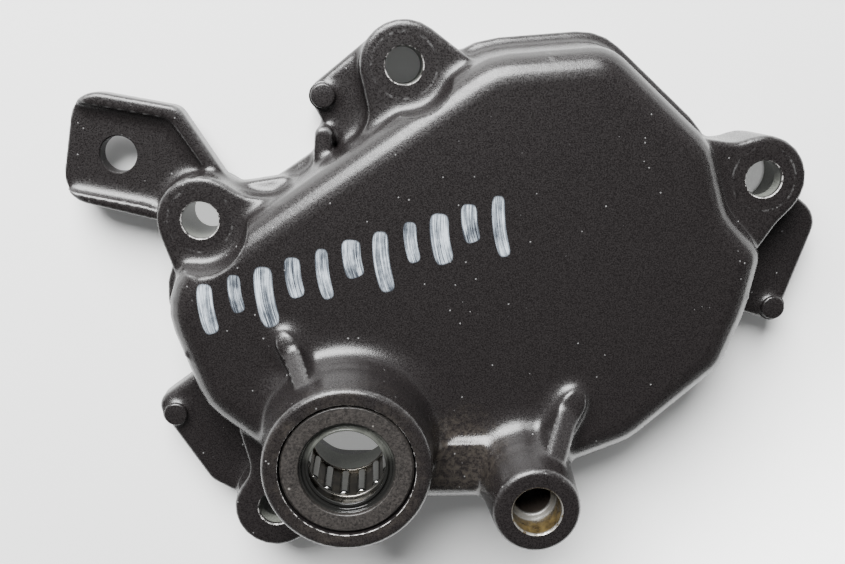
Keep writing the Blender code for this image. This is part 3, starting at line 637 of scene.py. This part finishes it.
# The last number sets how bright the painted floor reflection in each bore is
screwHole = holeFinish("screwHole", lugHeight, lugHeight - 0.6 * mm, 0.13)
tubeBore = holeFinish("tubeBore", frontHeight, sealLow.z, 0.3)
bareBore = boreFinish()
gasketFace = gasketFinish()
sealBlack = sealFinish()
cupSteel = steelFinish("cupSteel", (0.12, 0.115, 0.105, 1), (0.24, 0.235, 0.22, 1), 0.3, 3200.0)
cageSteel = steelFinish(
    "cageSteel", (0.03, 0.026, 0.022, 1), (0.065, 0.056, 0.046, 1), 0.36, 1800.0, 0.6)
rollerSteel = steelFinish("rollerSteel", (0.26, 0.26, 0.25, 1), (0.4, 0.4, 0.39, 1), 0.2, 2600.0, 0.25)
sealSteel = steelFinish("sealSteel", (0.3, 0.3, 0.29, 1), (0.5, 0.5, 0.49, 1), 0.35, 2000.0, 0.4)
print("finishes made")


# Cover casting

coverCasting = {
    "voxel": 0.43 * mm,
    "ridgePasses": 2,
    "hollowPasses": 44,
    "passShare": 0.5,
    "triangles": 178000,
    "screwHole": 7.0 * mm,
    "holeChamfer": 0.22 * mm,
    "sealChamfer": 0.06 * mm,
    "dowelHole": 11.5 * mm,
    "dowelDepth": 11.0 * mm,
    "counterbore": 9.0 * mm,
    "seatGap": 0.3 * mm,
    "boreStep": 1.5 * mm,
    "tubeEnd": 8.0 * mm,
    "bracketThickness": 4.0 * mm,
    "plugWall": 0.4 * mm,
    "cutBelow": -3.0 * mm,
    "cutAbove": 1.0 * mm,
    "extraFoot": -2.0 * mm,
    "merge": 0.001 * mm,
    "edgeRadius": 0.8 * mm,
    "holeSteps": 64,
    "shaftBoreSteps": 128,
    "smoothAngle": 38,
}


def boreProfiles():
    # Each bore as name, centre and r, z profile from below the gasket face to above its own face
    given = coverCasting
    below, above = given["cutBelow"], given["cutAbove"]
    chamfer = given["holeChamfer"]
    radius = given["screwHole"] / 2
    rows = []
    for name in lugHoles + ("bracket_hole",):
        top = bracketHeight if name == "bracket_hole" else lugHeight
        profile = [(radius, below)]
        if name in ("lug_low_hole", "lug_right_hole"):
            wide = given["dowelHole"] / 2
            profile = [(wide, below), (wide, given["dowelDepth"]), (radius, given["dowelDepth"])]
        profile += [(radius, top - chamfer), (radius + chamfer, top), (radius + chamfer, top + above)]
        rows.append((name, holeAt(name), profile))
    wide = given["counterbore"] / 2
    shoulder = frontHeight - boreLooks["shoulderDepth"]
    rows.append(("small_bore", smallBossAt, [
        (radius, below), (radius, shoulder - chamfer), (radius + chamfer, shoulder),
        (wide, shoulder), (wide, frontHeight - chamfer), (wide + chamfer, frontHeight),
        (wide + chamfer, frontHeight + above)]))
    cupBore = cupRadius + given["seatGap"]
    sealBore = sealRadius + given["seatGap"]
    rear = cupBore - given["boreStep"]
    cupSeat = cupLow.z - given["seatGap"]
    sealSeat = sealLow.z - given["seatGap"] / 2
    edge = given["sealChamfer"]
    rows.append(("shaft_bore", shaftAt, [
        (rear, below), (rear, cupSeat), (cupBore, cupSeat), (cupBore, sealSeat),
        (sealBore, sealSeat), (sealBore, frontHeight - edge), (sealBore + edge, frontHeight),
        (sealBore + edge, frontHeight + above)]))
    return rows


def roughCasting():
    # The solid with its bores filled and its back lengthened, so that only cast faces soften
    given = coverCasting
    grid = bmesh.new()
    grid.from_mesh(frame["nodes"]["cover_casting"].data)
    bmesh.ops.remove_doubles(grid, verts=grid.verts, dist=given["merge"])
    bottom = [
        face for face in grid.faces if max(abs(vert.co.z) for vert in face.verts) < given["merge"]]
    for item in bmesh.ops.extrude_face_region(grid, geom=bottom)["geom"]:
        if isinstance(item, bmesh.types.BMVert):
            item.co.z = given["extraFoot"]
    bmesh.ops.delete(grid, geom=[face for face in bottom if face.is_valid], context="FACES_ONLY")
    feet = {
        "bracket_hole": bracketHeight - given["bracketThickness"],
        "shaft_bore": given["tubeEnd"],
    }
    for name, at, profile in boreProfiles():
        widest = max(r for r, z in profile) + given["plugWall"]
        top = profile[-2][1]
        foot = feet.get(name, given["extraFoot"])
        turnedGrid(grid, [(widest, foot), (widest, top)], at, given["holeSteps"], False)
    return newPiece("cover_body", meshFrom("cover_body", grid))


def meshArrays(mesh):
    # Places, edge ends, neighbours per point and normals as arrays
    count = len(mesh.vertices)
    spots = np.empty(count * 3)
    mesh.vertices.foreach_get("co", spots)
    ends = np.empty(len(mesh.edges) * 2, np.int64)
    mesh.edges.foreach_get("vertices", ends)
    normals = np.empty(count * 3)
    mesh.vertex_normals.foreach_get("vector", normals)
    degree = np.maximum(np.bincount(ends, minlength=count), 1)
    return spots.reshape(-1, 3), ends.reshape(-1, 2).T, degree, normals.reshape(-1, 3)


def neighbourMean(values, ends, degree):
    first, second = ends
    total = np.bincount(first, values[second], len(degree))
    return (total + np.bincount(second, values[first], len(degree))) / degree


def towardsMean(spots, ends, degree, normals):
    # The way from each point to the mean of its neighbours, and its share along the normal
    move = np.stack([neighbourMean(spots[:, k], ends, degree) for k in range(3)], 1) - spots
    return move, np.einsum("ij,ij->i", move, normals)


def softenCast(mesh):
    # Evens the faces, rounds ridges a little and hollows more, as cast corners are
    least = 0.01 * coverCasting["voxel"]
    for step in range(coverCasting["hollowPasses"]):
        spots, ends, degree, normals = meshArrays(mesh)
        move, outward = towardsMean(spots, ends, degree, normals)
        everywhere = step < coverCasting["ridgePasses"]
        share = np.where((outward > least) | everywhere, coverCasting["passShare"], 0.0)
        spots += move * share[:, None]
        mesh.vertices.foreach_set("co", spots.ravel())
        mesh.update()


def keepRidges(mesh):
    # Stores how sharply each point bends outwards, 1 at the casting's usual edge radius
    spots, ends, degree, normals = meshArrays(mesh)
    lengths = np.linalg.norm(spots[ends[0]] - spots[ends[1]], axis=1)
    count = len(degree)
    total = np.bincount(ends[0], lengths, count) + np.bincount(ends[1], lengths, count)
    outward = towardsMean(spots, ends, degree, normals)[1]
    bend = -outward / np.maximum(total / degree, 0.1 * mm) ** 2
    bend = np.clip(bend * 4 * coverCasting["edgeRadius"], -1, 4)
    bend = 0.4 * bend + 0.6 * neighbourMean(bend, ends, degree)
    keepValues(mesh, "ridge", np.clip(bend, 0, 2).astype(np.float32))


def coverBody():
    piece = roughCasting()
    step = piece.modifiers.new("evenMesh", "REMESH")
    step.mode = "VOXEL"
    step.voxel_size = coverCasting["voxel"]
    settle(piece)
    softenCast(piece.data)
    triangles = sum(len(face.vertices) - 2 for face in piece.data.polygons)
    step = piece.modifiers.new("thin", "DECIMATE")
    step.ratio = min(1.0, coverCasting["triangles"] / triangles)
    settle(piece)
    return piece


def cutterSlab():
    # A slab under the gasket face, twice as wide as the part
    low, high = cadBox
    depth = 10 * mm
    size = Matrix.Diagonal((2 * (high.x - low.x), 2 * (high.y - low.y), depth, 1))
    grid = bmesh.new()
    bmesh.ops.create_cube(grid, size=1.0, matrix=Matrix.Translation((0, 0, -depth / 2)) @ size)
    return newPiece("slab", meshFrom("slab", grid))


def cutterBores(names):
    grid = bmesh.new()
    for name, at, profile in boreProfiles():
        steps = coverCasting["shaftBoreSteps" if name == "shaft_bore" else "holeSteps"]
        turnedGrid(grid, profile, at, steps, False, names.index(name if name in names else "hole"))
    return newPiece("bores", meshFrom("bores", grid))


def machine(piece, finishes):
    # Cuts the gasket face flat and the bores crisp, each with its own finish
    slab = cutterSlab()
    bores = cutterBores(list(finishes))
    slab.data.materials.append(finishes["gasket"])
    for finish in finishes.values():
        bores.data.materials.append(finish)
    for tool in (slab, bores):
        step = piece.modifiers.new(tool.name, "BOOLEAN")
        step.operation = "DIFFERENCE"
        step.solver = "EXACT"
        step.material_mode = "TRANSFER"
        step.object = tool
    settle(piece)
    discard(slab, bores)
    for vert in piece.data.vertices:
        vert.co.z = min(vert.co.z, frontHeight)
    smoothOver(piece.data, coverCasting["smoothAngle"])
    return piece


cover = coverBody()
keepRidges(cover.data)
cover.data.materials.clear()
cover.data.materials.append(powderCoat)
machine(cover, {
    "hole": screwHole, "bracket_hole": powderCoat, "small_bore": bareBore, "shaft_bore": tubeBore,
    "gasket": gasketFace})
standFor(cover, "cover_casting")
print("cover casting", len(cover.data.polygons), "faces")


# Ejector nubs on the tabs, crisp where the casting is soft

tabNubs = {
    "places": [(-4.3 * mm, 64.3 * mm), (85.7 * mm, 21.9 * mm), (-35.3 * mm, 1.0 * mm)],
    "radius": 2.35 * mm,
    "foot": 7.0 * mm,
    "tabTop": 8.0 * mm,
    "top": 9.3 * mm,
    "edge": 0.4 * mm,
    "steps": 48,
    # ridge value on the top edge, for its rubbed coat and painted highlight
    "rubAndGlint": 0.6,
}


def nubsPiece():
    # Round discs with a small fillet at the foot and a rounded edge
    grid = bmesh.new()
    radius, foot, tabTop, top, edge = [
        tabNubs[key] for key in ("radius", "foot", "tabTop", "top", "edge")]
    turns = [math.pi / 2 * k / 4 for k in range(5)]
    arcs = [(edge * (1 - math.sin(turn)), edge * (1 - math.cos(turn))) for turn in turns]
    profile = [(radius + edge, foot)]
    profile += [(radius + late, tabTop + early) for late, early in arcs]
    profile += [(radius - early, top - late) for late, early in arcs]
    for x, y in tabNubs["places"]:
        turnedGrid(grid, profile, (shaftAt.x + x, shaftAt.y + y), tabNubs["steps"], False)
    mesh = meshFrom("tab_nubs", grid)
    smoothOver(mesh, 50)
    mesh.materials.append(powderCoat)
    # Top edge: rubbed coat and a painted highlight, through the ridge value
    keepValues(mesh, "ridge", [
        tabNubs["rubAndGlint"] if vert.co.z > top - 0.7 * edge else 0.0 for vert in mesh.vertices])
    return newPiece("tab_nubs", mesh)


nubs = nubsPiece()
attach(nubs, "cover")
print("nubs made")


# White brushed dabs on the dome, laid on the cast surface

paintDabs = {
    "width": 3.0 * mm,
    "lift": 0.04 * mm,
    "points": 14,
    "strands": 15,
    # the row's ends from the shaft's axis; the dabs take the lengths and factors in turn
    "rowStart": (-26.0 * mm, 31.0 * mm),
    "rowEnd": (28.0 * mm, 47.0 * mm),
    "count": 11,
    "lengths": (10.0 * mm, 7.5 * mm, 12.0 * mm, 8.0 * mm),
    "heading": math.radians(-95.0),
    "bend": math.radians(25.0),
    "widthFactors": (1.1, 0.9, 1.3),
    "roughness": 0.5,
    "thin": (0.07, 0.09, 0.12, 1),
    "thick": (0.5, 0.56, 0.62, 1),
    "bump": 0.4,
}


def dabLines():
    # Bent centre lines of the dabs, as edges high above the dome
    vertices, edges, widths = [], [], []
    last = paintDabs["points"] - 1
    rowStart, rowEnd = Vector(paintDabs["rowStart"]), Vector(paintDabs["rowEnd"])
    lengths, factors = paintDabs["lengths"], paintDabs["widthFactors"]
    for dab in range(paintDabs["count"]):
        start = shaftAt.xy + rowStart.lerp(rowEnd, dab / (paintDabs["count"] - 1))
        spot = Vector((start.x, start.y, frontHeight))
        for k in range(last + 1):
            if k > 0:
                angle = paintDabs["heading"] + paintDabs["bend"] * (k - 0.5) / last
                way = Vector((math.cos(angle), math.sin(angle), 0))
                spot = spot + way * lengths[dab % len(lengths)] / last
                edges.append((len(vertices) - 1, len(vertices)))
            vertices.append(tuple(spot))
            widths.append(factors[dab % len(factors)])
    mesh = bpy.data.meshes.new("paint_dabs")
    mesh.from_pydata(vertices, edges, [])
    keepValues(mesh, "dabWidth", widths)
    return mesh


def dabsTree():
    tree, given, result = growGroup("brushDabs", [
        ("Lines", "Geometry", None), ("Width", "Float", 3 * mm),
        ("Strands", "Int", 15), ("Lift", "Float", 0.04 * mm),
        ("Ground", "Object", None)])
    curve = geometry(tree, "MeshToCurve", {"Mesh": given["Lines"]})
    curve = geometry(tree, "SetCurveNormal", {"Curve": curve}, mode="Z_UP")
    along = put(tree, "GeometryNodeSplineParameter").outputs["Factor"]
    curve = geometry(tree, "StoreNamedAttribute", {
        "Geometry": curve, "Name": "dabAlong", "Value": along}, domain="POINT")
    strip = geometry(tree, "CurvePrimitiveLine", {"Start": (-0.5, 0, 0), "End": (0.5, 0, 0)})
    strip = geometry(tree, "ResampleCurve", {"Curve": strip, "Count": given["Strands"]})
    across = put(tree, "GeometryNodeSplineParameter").outputs["Factor"]
    strip = geometry(tree, "StoreNamedAttribute", {
        "Geometry": strip, "Name": "dabAcross", "Value": across}, domain="POINT")
    wide = geometry(tree, "InputNamedAttribute", {"Name": "dabWidth"}, data_type="FLOAT")
    mesh = geometry(tree, "CurveToMesh", {
        "Curve": curve, "Profile Curve": strip,
        "Scale": product(tree, wide, given["Width"])})
    ground = put(tree, "GeometryNodeObjectInfo", {"Object": given["Ground"]}).outputs["Geometry"]
    hit = put(tree, "GeometryNodeRaycast", {
        "Target Geometry": ground, "Ray Direction": (0, 0, -1), "Ray Length": 50 * mm}).outputs
    up = put(tree, "ShaderNodeVectorMath", {
        0: hit["Hit Normal"], 3: given["Lift"]}, operation="SCALE").outputs[0]
    place = vectorMaths(tree, "ADD", hit["Hit Position"], up).outputs[0]
    mesh = geometry(tree, "SetPosition", {"Geometry": mesh, "Position": place})
    return finished(tree, mesh, given, result)


def paintFinish():
    # Thin brushed white with bristle streaks that let the black through
    finish, tree, shader = newFinish("brushedWhite", paintDabs["roughness"])
    along = put(tree, "ShaderNodeAttribute", attribute_name="dabAlong").outputs["Fac"]
    across = put(tree, "ShaderNodeAttribute", attribute_name="dabAcross").outputs["Fac"]
    place = objectPlace(tree)
    where = vectorOf(
        tree, product(tree, across, 21.0), product(tree, along, 1.4),
        product(tree, axesOf(tree, place)[0], 160.0))
    streak = noise(tree, where, 1.0, 3.0, 0.65)
    patchy = noise(tree, place, 260.0, 3.0, 0.6)
    side = maths(tree, "ABSOLUTE", maths(tree, "MULTIPLY_ADD", across, 2.0, -1.0))
    end = maths(tree, "ABSOLUTE", maths(tree, "MULTIPLY_ADD", along, 2.0, -1.0))
    reach = maths(tree, "ADD", maths(tree, "POWER", side, 3.0), maths(tree, "POWER", end, 7.0))
    reach = maths(tree, "MULTIPLY_ADD", streak, 0.75, maths(tree, "MULTIPLY_ADD", patchy, 0.3, reach))
    body = maths(tree, "MULTIPLY_ADD", patchy, 0.5, streak)
    solid = product(tree, ramp(tree, reach, 1.35, 1.0), ramp(tree, body, 0.5, 1.0, 0.15, 1.0))
    colour = mixed(tree, ramp(tree, body, 0.55, 0.95), paintDabs["thin"], paintDabs["thick"])
    tree.links.new(solid, shader.inputs["Alpha"])
    feed(tree, shader, colour, None, None, streak, paintDabs["bump"])
    return finish


dabs = grown("paint_dabs", dabsTree(), {
    "Width": paintDabs["width"], "Strands": paintDabs["strands"], "Lift": paintDabs["lift"],
    "Ground": cover, "Finish": paintFinish()}, dabLines())
dabs.data.shade_smooth()
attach(dabs, "cover")
print("paint dabs", len(dabs.data.polygons), "faces")


# Dust specks lying on the faces that look up

dustSpecks = {
    "size": 0.042 * mm,
    "density": 350.0,
    "seed": 11,
    "turnSeed": 5,
    "belowFront": 0.5 * mm,
    "roughness": 0.8,
    "dark": (0.25, 0.24, 0.22, 1),
    "pale": (0.75, 0.74, 0.7, 1),
}


def dustTree():
    tree, given, result = growGroup("dustSpecks", [
        ("Ground", "Object", None), ("Size", "Float", 0.1 * mm),
        ("Density", "Float", 1000.0), ("Below", "Float", 40 * mm),
        ("Seed", "Int", 1), ("Turn Seed", "Int", 1)])
    ground = put(tree, "GeometryNodeObjectInfo", {"Object": given["Ground"]}).outputs["Geometry"]
    normal = axesOf(tree, geometry(tree, "InputNormal"))[2]
    upward = put(tree, "FunctionNodeCompare", {
        0: normal, 1: 0.6}, data_type="FLOAT", operation="GREATER_THAN").outputs[0]
    height = axesOf(tree, geometry(tree, "InputPosition"))[2]
    low = put(tree, "FunctionNodeCompare", {
        0: height, 1: given["Below"]}, data_type="FLOAT", operation="LESS_THAN").outputs[0]
    chosen = put(tree, "FunctionNodeBooleanMath", {0: upward, 1: low}, operation="AND").outputs[0]
    points = geometry(tree, "DistributePointsOnFaces", {
        "Mesh": ground, "Selection": chosen, "Density": given["Density"],
        "Seed": given["Seed"]})
    speckAndGlint = geometry(tree, "MeshIcoSphere", {"Radius": given["Size"], "Subdivisions": 1})
    scale = put(tree, "FunctionNodeRandomValue", {
        0: (0.35, 0.35, 0.25), 1: (1.3, 0.9, 0.6), "Seed": given["Seed"]},
        data_type="FLOAT_VECTOR").outputs[0]
    turn = put(tree, "FunctionNodeRandomValue", {
        0: (0.0, 0.0, 0.0), 1: (0.3, 0.3, 6.28), "Seed": given["Turn Seed"]},
        data_type="FLOAT_VECTOR").outputs[0]
    laid = geometry(tree, "InstanceOnPoints", {
        "Points": points, "Instance": speckAndGlint, "Rotation": turn, "Scale": scale})
    return finished(tree, laid, given, result)


def dustFinish():
    finish, tree, shader = newFinish("paleDust", dustSpecks["roughness"])
    uneven = noise(tree, objectPlace(tree), 900.0)
    feed(tree, shader, mixed(tree, uneven, dustSpecks["dark"], dustSpecks["pale"]))
    return finish


dust = grown("dust_specks", dustTree(), {
    "Ground": cover, "Size": dustSpecks["size"], "Density": dustSpecks["density"],
    "Below": frontHeight - dustSpecks["belowFront"], "Seed": dustSpecks["seed"],
    "Turn Seed": dustSpecks["turnSeed"], "Finish": dustFinish()})
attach(dust, "cover")
print("dust specks", len(dust.data.polygons), "faces")


# Shaft seal

shaftSeal = {
    "setback": 0.3 * mm,
    "mouth": 8.7 * mm,
    "lip": 6.9 * mm,
    "channel": 11.3 * mm,
    "heel": 8.0 * mm,
    "steps": 160,
    "arcSteps": 4,
}


def sealPiece():
    # Pressed body with a chamfered rim, a dust lip in a shallow channel and an open back
    front = sealHigh.z - shaftSeal["setback"]
    back = sealLow.z
    mouth, lip, channel, heel = [shaftSeal[key] for key in ("mouth", "lip", "channel", "heel")]
    corners = [
        (sealRadius, back, 0), (sealRadius, front - 0.45 * mm, 0.15 * mm),
        (sealRadius - 0.42 * mm, front, 0.15 * mm), (mouth, front, 0.22 * mm),
        (mouth - 0.2 * mm, front - 0.75 * mm, 0.08 * mm),
        (mouth - 0.45 * mm, front - 0.8 * mm, 0.08 * mm),
        (mouth - 0.6 * mm, front - 1.45 * mm, 0.15 * mm),
        (lip + 0.75 * mm, front - 1.5 * mm, 0.15 * mm),
        (lip + 0.4 * mm, front - 0.95 * mm, 0.12 * mm), (lip, front - 1.0 * mm, 0.1 * mm),
        (lip + 0.15 * mm, front - 1.9 * mm, 0), (heel - 0.15 * mm, front - 3.4 * mm, 0),
        (heel, front - 3.4 * mm, 0), (heel, front - 2.5 * mm, 0), (mouth, front - 1.65 * mm, 0),
        (channel, front - 1.65 * mm, 0), (channel, back, 0),
    ]
    profile = roundedProfile(corners, shaftSeal["arcSteps"])
    return turnedPiece("shaft_seal", profile, shaftSeal["steps"], sealBlack)


standFor(sealPiece(), "seal_rubber")
for node in ("seal_case", "seal_spring"):
    for slot in frame["nodes"][node].material_slots:
        slot.material = sealSteel
print("seal made")


# Needle bearing

needleBearing = {
    "wall": 1.0 * mm,
    "lipRadius": 7.2 * mm,
    "lipThickness": 0.8 * mm,
    "cageThickness": 0.7 * mm,
    "rollerEnd": 0.4 * mm,
    "rollerSides": 48,
    "rollerRings": 24,
    "cupSteps": 144,
    "arcSteps": 5,
    "ringSteps": 120,
    "ringEdge": 0.15 * mm,
    "windowGap": 0.1 * mm,
}


def cupPiece():
    raceway = cupRadius - needleBearing["wall"]
    lip = needleBearing["lipRadius"]
    thick = needleBearing["lipThickness"]
    corners = [
        (cupRadius, cupLow.z, 0.45 * mm), (cupRadius, cupHigh.z, 0.45 * mm),
        (lip, cupHigh.z, 0.2 * mm), (lip, cupHigh.z - thick, 0.2 * mm),
        (raceway, cupHigh.z - thick, 0.1 * mm), (raceway, cupLow.z + thick, 0.1 * mm),
        (lip, cupLow.z + thick, 0.2 * mm), (lip, cupLow.z, 0.2 * mm),
    ]
    profile = roundedProfile(corners, needleBearing["arcSteps"])
    return turnedPiece("cup_shell", profile, needleBearing["cupSteps"], cupSteel)


def cageTree():
    # Two end rings joined by a bar between each pair of rollers
    tree, given, result = growGroup("needleCage", [
        ("Bars", "Int", 15), ("Radius", "Float", 8 * mm),
        ("Thickness", "Float", 0.7 * mm), ("Bar Width", "Float", 1 * mm),
        ("Length", "Float", 10 * mm), ("Ring Width", "Float", 0.7 * mm),
        ("Ring Steps", "Int", 120), ("Ring Edge", "Float", 0.15 * mm)])
    circle = geometry(tree, "CurvePrimitiveCircle", {
        "Resolution": given["Ring Steps"], "Radius": given["Radius"]})
    edge = geometry(tree, "CurvePrimitiveQuadrilateral", {
        "Width": given["Thickness"], "Height": given["Ring Width"]})
    edge = geometry(tree, "FilletCurve", {
        "Curve": edge, "Count": 2, "Radius": given["Ring Edge"]}, mode="POLY")
    ring = geometry(tree, "CurveToMesh", {"Curve": circle, "Profile Curve": edge})
    between = less(tree, given["Length"], given["Ring Width"])
    half = product(tree, between, 0.5)
    join = put(tree, "GeometryNodeJoinGeometry")
    for side in (1.0, -1.0):
        lift = vectorOf(tree, 0.0, 0.0, product(tree, half, side))
        moved = geometry(tree, "Transform", {"Geometry": ring, "Translation": lift})
        tree.links.new(moved, join.inputs[0])
    points = geometry(tree, "MeshCircle", {"Vertices": given["Bars"], "Radius": given["Radius"]})
    step = maths(tree, "DIVIDE", 2 * math.pi, given["Bars"])
    angle = product(tree, geometry(tree, "InputIndex"), step)
    turn = vectorOf(tree, 0.0, 0.0, angle)
    size = vectorOf(tree, given["Thickness"], given["Bar Width"], between)
    bar = geometry(tree, "MeshCube", {"Size": size, "Vertices Z": 5})
    bars = geometry(tree, "InstanceOnPoints", {"Points": points, "Instance": bar, "Rotation": turn})
    offset = vectorOf(tree, 0.0, 0.0, product(tree, step, 0.5))
    bars = geometry(tree, "Transform", {"Geometry": bars, "Rotation": offset})
    tree.links.new(bars, join.inputs[0])
    return finished(tree, join.outputs[0], given, result)


def rollerTree():
    # One roller: a fine cylinder whose ends are rounded off
    tree, given, result = growGroup("needleRoller", [
        ("Radius", "Float", 1 * mm), ("Length", "Float", 10 * mm),
        ("End", "Float", 0.4 * mm), ("Sides", "Int", 48),
        ("Rings", "Int", 24)])
    body = geometry(tree, "MeshCylinder", {
        "Vertices": given["Sides"], "Side Segments": given["Rings"], "Radius": given["Radius"],
        "Depth": given["Length"]}, fill_type="NGON")
    spot = axesOf(tree, geometry(tree, "InputPosition"))
    half = product(tree, given["Length"], 0.5)
    # rings gather towards the ends
    turn = product(tree, maths(tree, "DIVIDE", spot[2], half), math.pi / 2)
    height = product(tree, half, maths(tree, "SINE", turn))
    straight = less(tree, half, given["End"])
    past = less(tree, maths(tree, "ABSOLUTE", height), straight)
    share = maths(tree, "DIVIDE", maths(tree, "MAXIMUM", past, 0.0), given["End"])
    rest = less(tree, 1.0, product(tree, share, share))
    arc = maths(tree, "SQRT", maths(tree, "MAXIMUM", rest, 0.0))
    drawn = product(tree, less(tree, 1.0, arc), product(tree, given["End"], 0.8))
    scale = maths(tree, "DIVIDE", less(tree, given["Radius"], drawn), given["Radius"])
    place = vectorOf(tree, product(tree, spot[0], scale), product(tree, spot[1], scale), height)
    mesh = geometry(tree, "SetPosition", {"Geometry": body, "Position": place})
    return finished(tree, mesh, given, result)


def atPlace(mesh, spot):
    mesh.transform(Matrix.Translation(spot))
    smoothOver(mesh, smoothAngle)
    return mesh


standFor(cupPiece(), "bearing_cup")
cageMiddle = middle(cageLow, cageHigh)
pitchRadius = nodeSize("bearing_cage").x / 2 - needleBearing["cageThickness"] / 2
rollerSize = nodeSize(rollers[0])
ringWidth = (cageHigh.z - cageLow.z - rollerSize.z) / 2 - needleBearing["windowGap"]
barWidth = 2 * math.pi * pitchRadius / len(rollers) - rollerSize.x - needleBearing["windowGap"]
cage = grown("needle_cage", cageTree(), {
    "Bars": len(rollers), "Radius": pitchRadius, "Thickness": needleBearing["cageThickness"],
    "Bar Width": barWidth, "Length": cageHigh.z - cageLow.z, "Ring Width": ringWidth,
    "Ring Steps": needleBearing["ringSteps"], "Ring Edge": needleBearing["ringEdge"],
    "Finish": cageSteel})
atPlace(cage.data, cageMiddle)
standFor(cage, "bearing_cage")
pattern = grown("needle", rollerTree(), {
    "Radius": rollerSize.x / 2, "Length": rollerSize.z, "End": needleBearing["rollerEnd"],
    "Sides": needleBearing["rollerSides"], "Rings": needleBearing["rollerRings"], "Finish": rollerSteel})
for node in rollers:
    needle = newPiece(node.replace("roller", "needle"), pattern.data.copy())
    atPlace(needle.data, middle(*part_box(node)))
    standFor(needle, node)
discard(pattern)
print("bearing made", len(rollers), "rollers")


# Camera, floor and light

# Solved from the circles of the bosses and lugs in the photograph
photoView = {
    "width": 845,
    "focalPixels": 1000.0,
    "sensor": 36.0,
    "clip": 10 * mm,
    "back": (-0.0424, 0.2167, 0.9753),
    "right": (0.99906, 0.0, 0.0434),
    "fromShaft": (6.2 * mm, 70.9 * mm, 202.5 * mm),
}


def photoCamera():
    data = bpy.data.cameras.new("photoCamera")
    data.sensor_width = photoView["sensor"]
    data.lens = photoView["focalPixels"] / photoView["width"] * photoView["sensor"]
    data.clip_start = photoView["clip"]
    camera = newPiece("photoCamera", data)
    back = Vector(photoView["back"]).normalized()
    right = Vector(photoView["right"])
    right = (right - back * right.dot(back)).normalized()
    place = Matrix((right, back.cross(right), back)).transposed().to_4x4()
    place.translation = shaftAt.to_3d() + Vector(photoView["fromShaft"])
    camera.matrix_world = place
    bpy.context.scene.camera = camera


studioLooks = {
    "floorSize": 3.0,
    "floorBelow": 0.05 * mm,
    "floorDark": (0.83, 0.835, 0.83, 1),
    "floorLight": (0.86, 0.865, 0.86, 1),
    "floorRoughness": 0.6,
    "glowColour": (0.99, 1.0, 0.99, 1),
    "glowReach": (48 * mm, 110 * mm),
    "glow": (0.06, 2.2),
    # hole, reach and strength of the floor's painted glow under each hole, standing in for light that
    # falls through from behind
    "glowUnderHoles": [
        ("shaft_hole", 13 * mm, 0.26), ("lug_left_hole", 5 * mm, 0.7),
        ("lug_right_hole", 5 * mm, 0.25)],
    "overhead": (0.11, 0.11, 0.112, 1),
    "around": (0.26, 0.26, 0.26, 1),
    "behind": (0.75, 0.76, 0.77, 1),
    "windowAt": (-0.22, 0.76, 0.68),
    "windowWidth": 0.8,
    "windowPower": 62.0,
}


def floorFinish():
    # Pale floor that glows as painted light: brighter towards the near right corner and in patches under
    # the holes, where it stands in for light falling through them
    finish, tree, shader = newFinish("paleFloor", studioLooks["floorRoughness"])
    place = objectPlace(tree)
    mottled = noise(tree, place, 14.0, 4.0, 0.6)
    feed(tree, shader, mixed(tree, mottled, studioLooks["floorDark"], studioLooks["floorLight"]))
    axes = axesOf(tree, place)
    # Painted light: the floor glows more towards the near right corner
    along = less(tree, product(tree, axes[0], 0.6), product(tree, axes[1], 0.8))
    glow = ramp(tree, along, *studioLooks["glowReach"], *studioLooks["glow"])
    for name, reach, strength in studioLooks["glowUnderHoles"]:
        at = shaftAt if name == "shaft_hole" else holeAt(name)
        away = vectorMaths(tree, "DISTANCE", place, (at.x, at.y, 0.0)).outputs["Value"]
        glow = maths(tree, "ADD", glow, ramp(tree, away, reach * 1.2, reach, 0.0, strength))
    shader.inputs["Emission Color"].default_value = studioLooks["glowColour"]
    tree.links.new(glow, shader.inputs["Emission Strength"])
    return finish


def skyColour(tree):
    # Dark overhead, soft grey all round and bright behind the part
    axes = axesOf(tree, put(tree, "ShaderNodeTexCoord").outputs["Generated"])
    low = ramp(tree, axes[2], 0.75, 0.2)
    behind = product(tree, low, ramp(tree, axes[1], 0.15, 0.9))
    colour = mixed(tree, low, studioLooks["overhead"], studioLooks["around"])
    return mixed(tree, behind, colour, studioLooks["behind"])


def studio():
    # Pale floor just under the gasket face, the sky, and one large soft light
    grid = bmesh.new()
    below = Matrix.Translation((0, 0, -studioLooks["floorBelow"]))
    bmesh.ops.create_grid(grid, x_segments=1, y_segments=1, size=studioLooks["floorSize"], matrix=below)
    mesh = bpy.data.meshes.new("floor")
    grid.to_mesh(mesh)
    grid.free()
    mesh.materials.append(floorFinish())
    newPiece("floor", mesh)
    world = bpy.data.worlds.new("studio")
    world.use_nodes = True
    tree = world.node_tree
    tree.links.new(skyColour(tree), tree.nodes["Background"].inputs[0])
    bpy.context.scene.world = world
    data = bpy.data.lights.new("window", "AREA")
    data.shape = "DISK"
    data.size = studioLooks["windowWidth"]
    data.energy = studioLooks["windowPower"]
    window = newPiece("window", data)
    window.location = studioLooks["windowAt"]
    window.rotation_euler = (-window.location).to_track_quat("-Z", "Y").to_euler()


photoCamera()
studio()
print("stage set")
